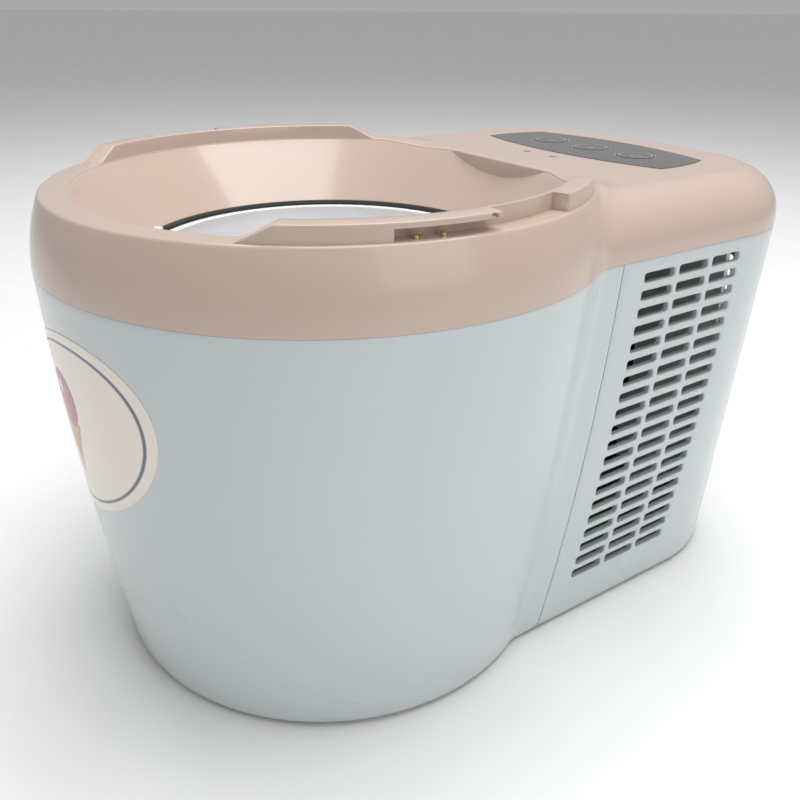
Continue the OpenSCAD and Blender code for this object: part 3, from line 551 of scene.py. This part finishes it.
def slot_tool(long, high, corner):
    """A long plug with rounded corners that flares at its outer end."""
    plan = []
    for turn, sx, sy in ((0, 1, 1), (90, -1, 1), (180, -1, -1), (270, 1, -1)):
        centre = (sx * (long / 2 - corner), sy * (high / 2 - corner))
        plan += arc(centre, corner, turn, turn + 90, 3)
    made = bmesh.new()
    rings = []
    for depth, grow in SLOT_RINGS:
        row = [(depth, x * (1 + 2 * grow / long), y * (1 + 2 * grow / high)) for x, y in plan]
        rings.append([made.verts.new(p) for p in row])
    count = len(plan)
    for low, high_ring in zip(rings, rings[1:]):
        for i in range(count):
            j = (i + 1) % count
            made.faces.new((low[i], low[j], high_ring[j], high_ring[i]))
    made.faces.new(rings[0][::-1])
    made.faces.new(rings[-1])
    bmesh.ops.recalc_face_normals(made, faces=made.faces)
    return piece("slot_tool", made, white_plastic)


slot_shape = slot_tool(SLOT_LONG, SLOT_HIGH, SLOT_CORNER)
print("slot faces:", len(slot_shape.data.polygons))

# %% [markdown]
# The tree makes one point for each slot. It finds the row and column from the point's index, and the
# surface there from the same rule as the shell. All its sizes are named inputs.

# %% Slot placing tree
SLOT_INPUTS = {
    "Slot": "NodeSocketObject",
    "Material": "NodeSocketMaterial",
    "Rows": "NodeSocketInt",
    "Columns": "NodeSocketInt",
    "Row Pitch": "NodeSocketFloat",
    "Column Pitch": "NodeSocketFloat",
    "First Height": "NodeSocketFloat",
    "First Column": "NodeSocketFloat",
    "Lean": "NodeSocketFloat",
    "Reach": "NodeSocketFloat",
    "Swell": "NodeSocketFloat",
    "Tuck": "NodeSocketFloat",
    "Bow Radius": "NodeSocketFloat",
    "Facing": "NodeSocketFloat",
}
slot_tree = bpy.data.node_groups.new("slot_rows", "GeometryNodeTree")
slot_keys = {}
for label, kind in SLOT_INPUTS.items():
    made_socket = slot_tree.interface.new_socket(name=label, in_out="INPUT", socket_type=kind)
    slot_keys[label] = made_socket.identifier
slot_tree.interface.new_socket(name="Geometry", in_out="OUTPUT", socket_type="NodeSocketGeometry")
sheet = Sheet(slot_tree)
entry = sheet.node("NodeGroupInput").socket.node
given = {label: Wire(sheet, entry.outputs[label]) for label in SLOT_INPUTS}

index = sheet.node("GeometryNodeInputIndex")
row = sheet.math("FLOOR", (index + 0.5) / given["Columns"])
column = index - row * given["Columns"]
height = given["First Height"] - row * given["Row Pitch"]
drop = 1 - height / SHELL_H
across = given["First Column"] + column * given["Column Pitch"] - given["Lean"] * drop
bow_squared = given["Bow Radius"] * given["Bow Radius"]
bow = sheet.math("SQRT", bow_squared - across * across) - given["Bow Radius"]
reach = given["Reach"] + given["Swell"] * drop - given["Tuck"] * drop * drop + bow
spots = sheet.node("GeometryNodePoints", {
    "Count": given["Rows"] * given["Columns"],
    "Position": sheet.node("ShaderNodeCombineXYZ", {0: reach, 1: across, 2: height}),
})
tool = sheet.node("GeometryNodeObjectInfo", {"Object": given["Slot"]}, out="Geometry")
placed = sheet.node("GeometryNodeInstanceOnPoints", {"Points": spots, "Instance": tool})
turned = sheet.node("GeometryNodeTransform", {
    "Geometry": sheet.node("GeometryNodeRealizeInstances", {"Geometry": placed}),
    "Rotation": sheet.node("ShaderNodeCombineXYZ", {2: given["Facing"]}),
    "Scale": (MM, MM, MM),
    "Translation": (0, axis_y, foot_z),
})
finished = sheet.node("GeometryNodeSetMaterial", {"Geometry": turned, "Material": given["Material"]})
leaving = slot_tree.nodes.new("NodeGroupOutput")
slot_tree.links.new(finished.socket, leaving.inputs["Geometry"])
print("slot tree nodes:", len(slot_tree.nodes))

# %% [markdown]
# The slots of each face become one plain mesh, which an exact boolean takes out of the rear housing.
# The same could be done slot by slot, but one cut for each face is much quicker.

# %% Cut the slots
def slot_cutter(**values):
    """All slots of one face as a plain mesh."""
    carrier = piece("slot_rows", bmesh.new(), white_plastic)
    modifier = carrier.modifiers.new("slots", "NODES")
    modifier.node_group = slot_tree
    modifier[slot_keys["Slot"]] = slot_shape
    modifier[slot_keys["Material"]] = white_plastic
    for label, value in values.items():
        modifier[slot_keys[label.replace("_", " ")]] = value
    return settle(carrier)


SLOT_PITCH = 6.35
SIDE_COLUMN = 86.1
SIDE_COLUMN_PITCH = 18.3
REAR_COLUMN = -42.0
REAR_COLUMN_PITCH = 21.0
REAR_FIRST_ROW = 85.0 + 6 * SLOT_PITCH
FLAT = 1e5
side_rows = dict(
    Rows=20, Columns=3, Row_Pitch=SLOT_PITCH, First_Height=SHELL_H - 6.8, Reach=TOWER_HALF,
    Swell=SIDE_SWELL, Tuck=SIDE_TUCK, Bow_Radius=FLAT,
)
right_slots = slot_cutter(
    First_Column=SIDE_COLUMN, Column_Pitch=SIDE_COLUMN_PITCH, Lean=SEAM_SHIFT, Facing=0.0, **side_rows,
)
left_slots = slot_cutter(
    First_Column=-SIDE_COLUMN, Column_Pitch=-SIDE_COLUMN_PITCH, Lean=-SEAM_SHIFT, Facing=math.pi,
    **side_rows,
)
rear_slots = slot_cutter(
    Rows=13, Columns=5, Row_Pitch=SLOT_PITCH, Column_Pitch=REAR_COLUMN_PITCH, First_Height=REAR_FIRST_ROW,
    First_Column=REAR_COLUMN, Lean=0.0, Reach=REAR_REACH, Swell=-REAR_TAPER, Tuck=-REAR_SWELL,
    Bow_Radius=REAR_ARC, Facing=math.pi / 2,
)
for cutter in (right_slots, left_slots, rear_slots):
    cut_away(rear_skin, cutter)
bpy.data.objects.remove(slot_shape)
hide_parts("front_shell")
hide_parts("rear_shell")
for made in (front_skin, rear_skin):
    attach(made, "machine")
print("rear housing faces with slots:", len(rear_skin.data.polygons))

# %% [markdown]
# ## Rose collar
# The collar is one moulding: a band that tapers in to a crisp ledge round the bowl, a tower that rounds
# over into a flat deck, and a funnel that leads down to the bowl. It is a single sheet of rows, up the
# outside, in across the top and down the funnel, then given its wall.

# %% Collar rules
BAND_H = 23.3
DECK_H = 21.3
DECK_ROUND = 18
ROUND_FROM = 3.3
EDGE = 0.8
RING_TAPER = 4.85
LIP_EDGE = 0.7
COLLAR_WALL = 2.2
FUNNEL_TOP = 86.6
FUNNEL_LOW = 67
FUNNEL_H = 24
CHORD_Y = 79.5
RING_TOP = SHELL_H + BAND_H
FUNNEL_FOOT = RING_TOP - FUNNEL_H


def step_between(value, low, high):
    share = min(1, max(0, (value - low) / (high - low)))
    return share * share * (3 - 2 * share)


def top_height(x, y):
    """Height of the top: the ledge round the bowl, easing down to the deck behind it."""
    behind = step_between(math.degrees(math.atan2(y, abs(x))), 46, 62)
    outside = step_between(math.hypot(x, y), 95.5, 103)
    return RING_TOP - (BAND_H - DECK_H) * (1 - (1 - behind) * (1 - outside))


def cone_radius(z):
    return FUNNEL_LOW + (z - FUNNEL_FOOT) * (FUNNEL_TOP - FUNNEL_LOW) / FUNNEL_H


def collar_plan(share):
    """Outline of the collar at a share of its height."""
    edge_share = EDGE / BAND_H
    ring_in = RING_TAPER * share * share
    if share > 1 - edge_share:
        ring_in += EDGE * (1 - math.sqrt(max(0, 1 - ((share - 1 + edge_share) / edge_share) ** 2)))
    lift = min(1, max(0, (share * DECK_H - ROUND_FROM) / DECK_ROUND))
    inset = DECK_ROUND * (1 - math.sqrt(1 - lift * lift))
    return outline(
        BOWL_R - ring_in, TOWER_HALF - inset, REAR_REACH - inset, REAR_ARC - inset,
        CORNER_R - inset, CREASE_R,
    )


print("ledge height", round(RING_TOP, 1), "deck height", round(SHELL_H + DECK_H, 1))

# %% [markdown]
# Rows go up the outside by shares of the height. Then every point of the outline starts a column that
# runs in across the top and down the funnel, so the sheet has no seam between band, ledge and funnel.

# %% Collar sheet
shares = [0, 0.02, 0.06, 0.11, ROUND_FROM / DECK_H]
shares += [(ROUND_FROM + DECK_ROUND * math.sin(math.radians(a))) / DECK_H for a in range(6, 71, 5)]
shares += [1 - EDGE / BAND_H * (1 - math.sin(math.radians(b))) for b in range(0, 91, 15)]
top_plan = collar_plan(1)
tops = [top_height(x, y) for x, y in top_plan]
rows = []
for share in shares:
    level = zip(collar_plan(share), tops)
    rows.append([(x, y, SHELL_H + share * (top - SHELL_H)) for (x, y), top in level])


def column(x, y):
    """Points of one column from the top edge in to the funnel and down to its foot."""
    far = math.hypot(x, y)
    cos, sin = x / far, y / far
    chord = CHORD_Y / sin if sin > 0.3 else 1e3
    lip_z = top_height(FUNNEL_TOP * cos, FUNNEL_TOP * sin)
    lip = min(cone_radius(lip_z), chord)
    found = []
    for k in range(1, 27):
        r = far + (lip + LIP_EDGE - far) * k / 26
        found.append((r, top_height(r * cos, r * sin)))
    for b in (30, 60, 90):
        a = math.radians(b)
        found.append((lip + LIP_EDGE * (1 - math.sin(a)), lip_z - LIP_EDGE * (1 - math.cos(a))))
    start = lip_z - LIP_EDGE
    meet = min(start, FUNNEL_FOOT + (chord - FUNNEL_LOW) * FUNNEL_H / (FUNNEL_TOP - FUNNEL_LOW))
    for k in (1, 2, 3):
        z = start + (meet - start) * k / 3
        found.append((min(chord, cone_radius(z) if meet == start else chord), z))
    for k in range(1, 9):
        z = meet + (FUNNEL_FOOT - meet) * k / 8
        found.append((cone_radius(z), z))
    return [(r * cos, r * sin, z) for r, z in found]


columns = [column(x, y) for x, y in top_plan]
rows += [list(row) for row in zip(*columns)]
collar = wall(piece("collar", sheet_of_rows(rows), rose_plastic), COLLAR_WALL)
print("collar faces:", len(collar.data.polygons))

# %% [markdown]
# ## Pocket and holes in the deck
# The control panel sits in a shallow pocket whose outline is four circles crossing: a bowed front, a bowed
# back and two round ends. Keys, lamps and the lid's contact pins come up through holes.

# %% Panel outline
PANEL_HALF = 51
PANEL_D = 44.2
PANEL_Y = 134.4
FRONT_BOW = 7.4
REAR_BOW = 9.4
END_R = 60
END_Y = -8


def bow_radius(half, depth):
    return (half * half + depth * depth) / (2 * depth)


def panel_outline(grow, count=180):
    """Where a ray from the panel's middle first leaves one of the four circles."""
    front = bow_radius(PANEL_HALF, FRONT_BOW)
    rear = bow_radius(PANEL_HALF, REAR_BOW)
    circles = [
        (0, -PANEL_D / 2 + front, front), (0, PANEL_D / 2 - rear, rear),
        (PANEL_HALF - END_R, END_Y, END_R), (END_R - PANEL_HALF, END_Y, END_R),
    ]
    found = []
    for a in np.radians(np.arange(count) * 360 / count):
        cos, sin = math.cos(a), math.sin(a)
        reaches = []
        for cx, cy, r in circles:
            along = cx * cos + cy * sin
            reaches.append(along + math.sqrt(along * along - cx * cx - cy * cy + (r + grow) ** 2))
        reach_out = min(reaches)
        found.append((reach_out * cos, PANEL_Y + reach_out * sin))
    return found


def plug(name, plan, low, high):
    """A closed upright plug from a plan."""
    made = sheet_of_rows([[(x, y, low) for x, y in plan], [(x, y, high) for x, y in plan]])
    loops = [e for e in made.edges if e.is_boundary]
    bmesh.ops.holes_fill(made, edges=loops)
    bmesh.ops.recalc_face_normals(made, faces=made.faces)
    return piece(name, made, rose_plastic)


def circle_plan(x, y, radius, count=48):
    return [(x + a, y + b) for a, b in arc((0, 0), radius, 0, 360, count)[:-1]]


KEY_X = (-25, 0, 25)
KEY_HOLE_R = 9
LAMP_X = 7.8
LAMP_Y = 104
LAMP_HOLE_R = 1.65
CONTACT_R = 91.325
CONTACT_TURNS = (-14.5, -9.5)
CONTACT_HOLE_R = 1.05
POCKET_GAP = 0.15
POCKET_DEPTH = 1.5
HOLE_FOOT = 150
HOLE_TOP = RING_TOP + 5


def hole_through(name, plan):
    cut_away(collar, plug(name, plan, HOLE_FOOT, HOLE_TOP))


cut_away(collar, plug("pocket", panel_outline(POCKET_GAP), SHELL_H + DECK_H - POCKET_DEPTH, HOLE_TOP))
for x in KEY_X:
    hole_through("key_hole", circle_plan(x, PANEL_Y, KEY_HOLE_R))
for x in (-LAMP_X, LAMP_X):
    hole_through("lamp_hole", circle_plan(x, LAMP_Y, LAMP_HOLE_R))
for turn in CONTACT_TURNS:
    a = math.radians(turn)
    pin_x, pin_y = CONTACT_R * math.cos(a), CONTACT_R * math.sin(a)
    hole_through("pin_hole", circle_plan(pin_x, pin_y, CONTACT_HOLE_R, 24))
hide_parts("top_cover")
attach(collar, "machine")
print("collar faces with holes:", len(collar.data.polygons))

# %% [markdown]
# ## Guard walls of the lid lock
# Two low curved walls stand on the ledge. The lid's lugs drop into an open recess in each and turn under
# a thin lip. A wall is a section swept round the axis whose height ramps down at both ends, and the
# recess is cut out of it. The left wall is the right one turned half way round.

# %% Guard walls
GUARD_IN = 86.8
GUARD_OUT = 93.95
GUARD_H = 5.2
GUARD_HALF = 44
RAMP = 6.7
GUARD_EDGE = 0.4
GUARD_SINK = 0.6
RECESS_IN = 88.7
RECESS_OUT = 102
LOCK_FROM = -18.7
LOCK_LIP_TO = 1
LOCK_TO = 20
LOCK_SLOT_H = 3.5
NOTCH_TURN = -0.6
NOTCH_R = 1.5


def ring_block(inner, outer, low, high, start, end, steps=40):
    """A closed block that follows the ring."""
    angles = np.radians(np.linspace(start, end, steps + 1))
    rows = []
    for r, z in ((inner, low), (outer, low), (outer, high), (inner, high), (inner, low)):
        rows.append([(r * math.cos(a), r * math.sin(a), z) for a in angles])
    made = sheet_of_rows(rows, closed=False)
    bmesh.ops.holes_fill(made, edges=[e for e in made.edges if e.is_boundary])
    bmesh.ops.recalc_face_normals(made, faces=made.faces)
    return made


def guard_section(angle):
    """Section of the wall at an angle, as radius and height."""
    ramp = min(1, (GUARD_HALF - abs(angle)) / RAMP)
    high = RING_TOP + max(0.05, GUARD_H * ramp)
    soft = min(GUARD_EDGE, (high - RING_TOP) / 2)
    found = [(GUARD_IN, RING_TOP - GUARD_SINK), (GUARD_OUT, RING_TOP - GUARD_SINK)]
    for b in (0, 30, 60, 90):
        a = math.radians(b)
        found.append((GUARD_OUT - soft * (1 - math.cos(a)), high - soft * (1 - math.sin(a))))
    for b in (90, 60, 30, 0):
        a = math.radians(b)
        found.append((GUARD_IN + soft * (1 - math.cos(a)), high - soft * (1 - math.sin(a))))
    return found


def guard_wall(name, turn):
    angles = np.linspace(-GUARD_HALF, GUARD_HALF, 133)
    sections = [guard_section(a) for a in angles]
    rows = []
    for a, section in zip(np.radians(angles + turn), sections):
        rows.append([(r * math.cos(a), r * math.sin(a), z) for r, z in section])
    made = sheet_of_rows(rows)
    bmesh.ops.holes_fill(made, edges=[e for e in made.edges if e.is_boundary])
    bmesh.ops.recalc_face_normals(made, faces=made.faces)
    block = piece(name, made, rose_plastic)
    slot_top = RING_TOP + LOCK_SLOT_H
    for low_a, top in ((LOCK_FROM, slot_top), (LOCK_LIP_TO, RING_TOP + 9)):
        shape = ring_block(RECESS_IN, RECESS_OUT, RING_TOP - 2, top, low_a + turn, LOCK_TO + turn)
        cut_away(block, piece("recess", shape, rose_plastic))
    a = math.radians(NOTCH_TURN + turn)
    notch = bmesh.new()
    across = Vector((-math.sin(a), math.cos(a), 0))
    ends = []
    for r in (RECESS_IN, RECESS_OUT):
        centre = Vector((r * math.cos(a), r * math.sin(a), slot_top))
        turns = [math.radians(b) for b in range(0, 360, 15)]
        ring = [
            centre + across * NOTCH_R * math.cos(t) + Vector((0, 0, NOTCH_R * math.sin(t))) for t in turns
        ]
        ends.append([notch.verts.new(to_frame(p)) for p in ring])
    for i in range(24):
        j = (i + 1) % 24
        notch.faces.new((ends[0][i], ends[0][j], ends[1][j], ends[1][i]))
    notch.faces.new(ends[0][::-1])
    notch.faces.new(ends[1])
    bmesh.ops.recalc_face_normals(notch, faces=notch.faces)
    cut_away(block, piece("notch", notch, rose_plastic))
    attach(block, "machine")
    return block


guards = [guard_wall("guard_wall_right", 0), guard_wall("guard_wall_left", 180)]
print("guard wall faces:", [len(g.data.polygons) for g in guards])

# %% [markdown]
# ## Emblem
# A printed oval sits on the front of the round housing. It is a thin patch that follows the housing's own
# curve. Its print is a generic one: one thin line near the rim and a plain ice cream cone in the middle.

# %% Emblem print
EMBLEM_W = 54.3
EMBLEM_H = 31.4
EMBLEM_Z = SHELL_H - 47.7
EMBLEM_TILT = math.radians(21)
WRAP_R = BOWL_R - 9
MARK_Z = 1
MARK_SCALE = 1.25
CONE_H = 17
CONE_SLOPE = 0.42
SCOOP_UP = 6.5
EMBLEM_LIFT = 0.2
EMBLEM_T = 0.18
CREAM = (0.86, 0.80, 0.70)
SLATE = (0.090, 0.125, 0.175)
WAFFLE = (0.62, 0.36, 0.14)
BERRY = (0.40, 0.045, 0.10)

emblem_ink = Finish("emblem_print", CREAM, 0.34, coat=0.3)
ex, ez = emblem_ink.split()[::2]
along = emblem_ink.math("ARCSINE", ex / (WRAP_R * MM)) * WRAP_R
upward = (ez - (EMBLEM_Z * MM + foot_z)) / MM
u = (along * math.cos(EMBLEM_TILT) + upward * math.sin(EMBLEM_TILT)) / EMBLEM_W
v = (upward * math.cos(EMBLEM_TILT) - along * math.sin(EMBLEM_TILT)) / EMBLEM_H
oval = emblem_ink.math("SQRT", u * u + v * v)


def ring_mask(ink, value, low, high, soft=0.008):
    return ink.smooth(value, low - soft, low + soft) * (1 - ink.smooth(value, high - soft, high + soft))


ink_noise = emblem_ink.noise(700, 3.0)
cream_tone = emblem_ink.mix(ink_noise, tuple(c * 0.95 for c in CREAM), CREAM)
print_colour = emblem_ink.mix(ring_mask(emblem_ink, oval, 0.88, 0.91), cream_tone, SLATE)
px = along / MARK_SCALE
pz = (upward - MARK_Z) / MARK_SCALE
cone_edge = (pz + CONE_H) * CONE_SLOPE - abs(px)
cone_mask = emblem_ink.smooth(cone_edge, -0.15, 0.15) * (1 - emblem_ink.smooth(pz, 0.8, 1.1))
waffle = 1
for lean in (0.6, -0.6):
    waffle = emblem_ink.math("PINGPONG", px + pz * lean, 1.6) * waffle
waffle_tone = emblem_ink.mix(emblem_ink.smooth(waffle, 0.1, 0.4), tuple(c * 0.45 for c in WAFFLE), WAFFLE)
print_colour = emblem_ink.mix(cone_mask, print_colour, waffle_tone)
scoop = emblem_ink.math("SQRT", px * px + (pz - SCOOP_UP) * (pz - SCOOP_UP))
print_colour = emblem_ink.mix(1 - emblem_ink.smooth(scoop, 7.9, 8.2), print_colour, BERRY)
shine = emblem_ink.math("SQRT", (px + 2.6) * (px + 2.6) + (pz - 9) * (pz - 9))
print_colour = emblem_ink.mix((1 - emblem_ink.smooth(shine, 1.6, 2.4)) * 0.7, print_colour, CREAM)
emblem_ink.put("Base Color", print_colour)
emblem_ink.worn(0.06, 60).grain(1500, 0.000008)
print("emblem print size in mm:", 2 * EMBLEM_W, 2 * EMBLEM_H)

# %% [markdown]
# Ovals of points are laid on the housing's curve from the middle to the rim. The sheet then gets a wall
# as thin as a label's.

# %% Emblem patch
rows = []
for k in range(1, 33):
    share = k / 32
    row = []
    for a in np.radians(np.arange(0, 360, 2.5)):
        long = EMBLEM_W * share * math.cos(a)
        high = EMBLEM_H * share * math.sin(a)
        turned_long = long * math.cos(EMBLEM_TILT) - high * math.sin(EMBLEM_TILT)
        x = WRAP_R * math.sin(turned_long / WRAP_R)
        z = EMBLEM_Z + long * math.sin(EMBLEM_TILT) + high * math.cos(EMBLEM_TILT)
        surface = bowl_radius(1 - z / SHELL_H) + EMBLEM_LIFT
        row.append((x, -math.sqrt(surface * surface - x * x), z))
    rows.append(row)
patch = sheet_of_rows(rows)
centre_edges = [e for e in patch.edges if e.is_boundary and e.calc_length() < 0.2 * MM]
bmesh.ops.holes_fill(patch, edges=centre_edges)
patch.normal_update()
if sum(f.normal.y * f.calc_area() for f in patch.faces) > 0:
    bmesh.ops.reverse_faces(patch, faces=patch.faces)
emblem_patch = wall(piece("emblem_patch", patch, emblem_ink.material), EMBLEM_T)
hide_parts("emblem")
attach(emblem_patch, "machine")
print("emblem faces:", len(emblem_patch.data.polygons))

# %% [markdown]
# ## Control panel and keys
# The panel is a glossy dark plate with three printed rings, one round each key. The print is drawn by
# distance from each key's middle, so it stays crisp at any size. The marks on the keys are plain shapes.

# %% Panel and keys
PANEL_TONE = (0.096, 0.092, 0.095)
PRINT_TONE = (0.27, 0.27, 0.27)


def panel_finish(name, marks):
    """Glossy dark plastic with light printed marks. marks takes x and y in mm from the middle key."""
    made = Finish(name, PANEL_TONE, 0.22, coat=0.2)
    x, y = made.split()[:2]
    mask = marks(made, x / MM, (y - axis_y) / MM - PANEL_Y)
    cloud = made.noise(40, 3.0)
    base = made.mix(cloud, tuple(c * 0.9 for c in PANEL_TONE), tuple(c * 1.08 for c in PANEL_TONE))
    made.put("Base Color", made.mix(mask, base, PRINT_TONE))
    made.put("Roughness", 0.20 + cloud * 0.05 + mask * 0.15)
    made.bump(made.noise(12, 1.0), 0.0003, 0.2)
    return made.material


def plate_marks(ink, x, y):
    """A thin ring round each key hole."""
    total = 0
    for key_x in KEY_X:
        r = ink.math("SQRT", (x - key_x) * (x - key_x) + y * y)
        total = ring_mask(ink, r, 7.9, 8.3, 0.08) + total
    return total


def key_marks(ink, x, y):
    """A ring near each key's edge and a plain mark in its middle."""
    total = 0
    for key_x in KEY_X:
        dx = x - key_x
        r = ink.math("SQRT", dx * dx + y * y)
        total = ring_mask(ink, r, 6.5, 7.1, 0.08) + total
    bar = ring_mask(ink, x + 25, -0.35, 0.35, 0.08) * ring_mask(ink, y, -2.2, 2.2, 0.08)
    dot = 1 - ink.smooth(ink.math("SQRT", x * x + y * y), 1.0, 1.2)
    r = ink.math("SQRT", (x - 25) * (x - 25) + y * y)
    return total + bar + dot + ring_mask(ink, r, 1.7, 2.3, 0.08)


put_on(panel_finish("panel_grey", plate_marks), "control_panel")
put_on(panel_finish("key_grey", key_marks), "key_left", "key_middle", "key_right")
lens = Finish("lens_smoke", (0.23, 0.19, 0.18), 0.12, coat=0.8).uneven(0.1, 300).worn(0.05, 200)
put_on(lens.material, "indicator_lenses")
print("panel, three keys and two lenses")

# %% [markdown]
# ## Materials of the remaining pieces
# These pieces keep their engineering shape. Each gets the finish of the real thing: satin metal for the
# bowl, black extruded aluminium for the heat sink, soft rubber for the seal and feet, dark foam round the pot
# and green resin with a copper pattern for the boards.

# %% Bowl, seal and cooler
put_on(bowl_metal, "ice_cream_bowl")
put_on(bail_metal, "bowl_bail")
put_on(pot_metal, "cooling_pot")
put_on(sink_metal, "heat_sink", "switching_heat_sink")
put_on(screw_metal, "case_screws", "heat_sink_screws", "fan_screws", "control_board_screws",
       "power_board_screws")
put_on(pin_metal, "inlet_pins", "lid_contact_front", "lid_contact_rear")
seal = Finish("seal_rubber", (0.052, 0.051, 0.052), 0.62).uneven(0.2, 60).worn(0.15, 120).grain(2200, 0.00004)
put_on(seal.material, "pot_seal")
foot = Finish("foot_rubber", (0.035, 0.035, 0.037), 0.72).uneven(0.2, 80).worn(0.15, 150).grain(1800, 0.00006)
put_on(foot.material, "feet")

foam = Finish("foam", (0.018, 0.018, 0.019), 0.95, specular=0.2)
cells = foam.node("ShaderNodeTexVoronoi", {"Vector": foam.place, "Scale": 420.0})
foam.put("Base Color", foam.mix(cells, (0.010, 0.010, 0.011), (0.026, 0.026, 0.028)))
foam.bump(cells, 0.0004).worn(0.1, 200)
put_on(foam.material, "pot_insulation")
pad = Finish("thermal_pad", (0.42, 0.47, 0.55), 0.7).uneven(0.1, 200).worn(0.1, 300).grain(2500, 0.00003)
put_on(pad.material, "thermal_pads")
tile = Finish("ceramic", (0.82, 0.82, 0.80), 0.5).uneven(0.05, 150).worn(0.1, 300).grain(3000, 0.00001)
put_on(tile.material, "cooling_module", "temperature_sensor")
print("cooler finishes ready")

# %% [markdown]
# Fan, boards and wires are only glimpsed through the slots. Each still has its own pattern: strands on the
# ribbon, turns of tape on the transformer and tracks on the boards.

# %% Plastics inside the tower
put_on(moulded("black_plastic", (0.012, 0.012, 0.013), 0.5).material,
       "fan_frame", "fan_rotor", "mains_inlet", "key_switches", "lid_contact_block")
put_on(moulded("baffle_plastic", (0.66, 0.67, 0.67), 0.5).material, "fan_baffle")
put_on(moulded("base_plastic", (0.62, 0.64, 0.65), 0.48).material, "base_plate")
put_on(moulded("lamp_clear", (0.80, 0.78, 0.72), 0.18, coat=0.5).material, "indicator_lamps")
put_on(moulded("capacitor_sleeve", (0.030, 0.050, 0.130), 0.34).material, "capacitors")
put_on(moulded("lead_sleeve", (0.060, 0.014, 0.012), 0.45).material,
       "inlet_leads", "fan_lead", "cooler_leads")

ribbon = Finish("ribbon_grey", (0.52, 0.53, 0.54), 0.45)
strands = ribbon.node("ShaderNodeTexWave", {"Vector": ribbon.place, "Scale": 260.0}, bands_direction="Y")
ribbon.put("Base Color", ribbon.mix(strands, (0.40, 0.41, 0.42), (0.58, 0.59, 0.60)))
ribbon.bump(strands, 0.0002).worn()
put_on(ribbon.material, "panel_ribbon")

tape = Finish("transformer_tape", (0.55, 0.36, 0.06), 0.32)
turns = tape.node("ShaderNodeTexWave", {"Vector": tape.place, "Scale": 220.0}, bands_direction="Z")
tape.put("Base Color", tape.mix(turns, (0.42, 0.26, 0.04), (0.62, 0.42, 0.09)))
tape.bump(turns, 0.0001).worn()
put_on(tape.material, "transformer")

board = Finish("circuit_board", (0.030, 0.130, 0.055), 0.3, coat=0.3)
tracks = board.node("ShaderNodeTexBrick", {
    "Vector": board.place, "Scale": 160.0, "Color1": (0.020, 0.105, 0.040, 1),
    "Color2": (0.045, 0.170, 0.075, 1), "Mortar": (0.080, 0.230, 0.110, 1),
}, out="Color")
board.put("Base Color", tracks).worn().grain(900, 0.00002)
put_on(board.material, "control_board", "power_board")
print("finishes inside the tower ready")
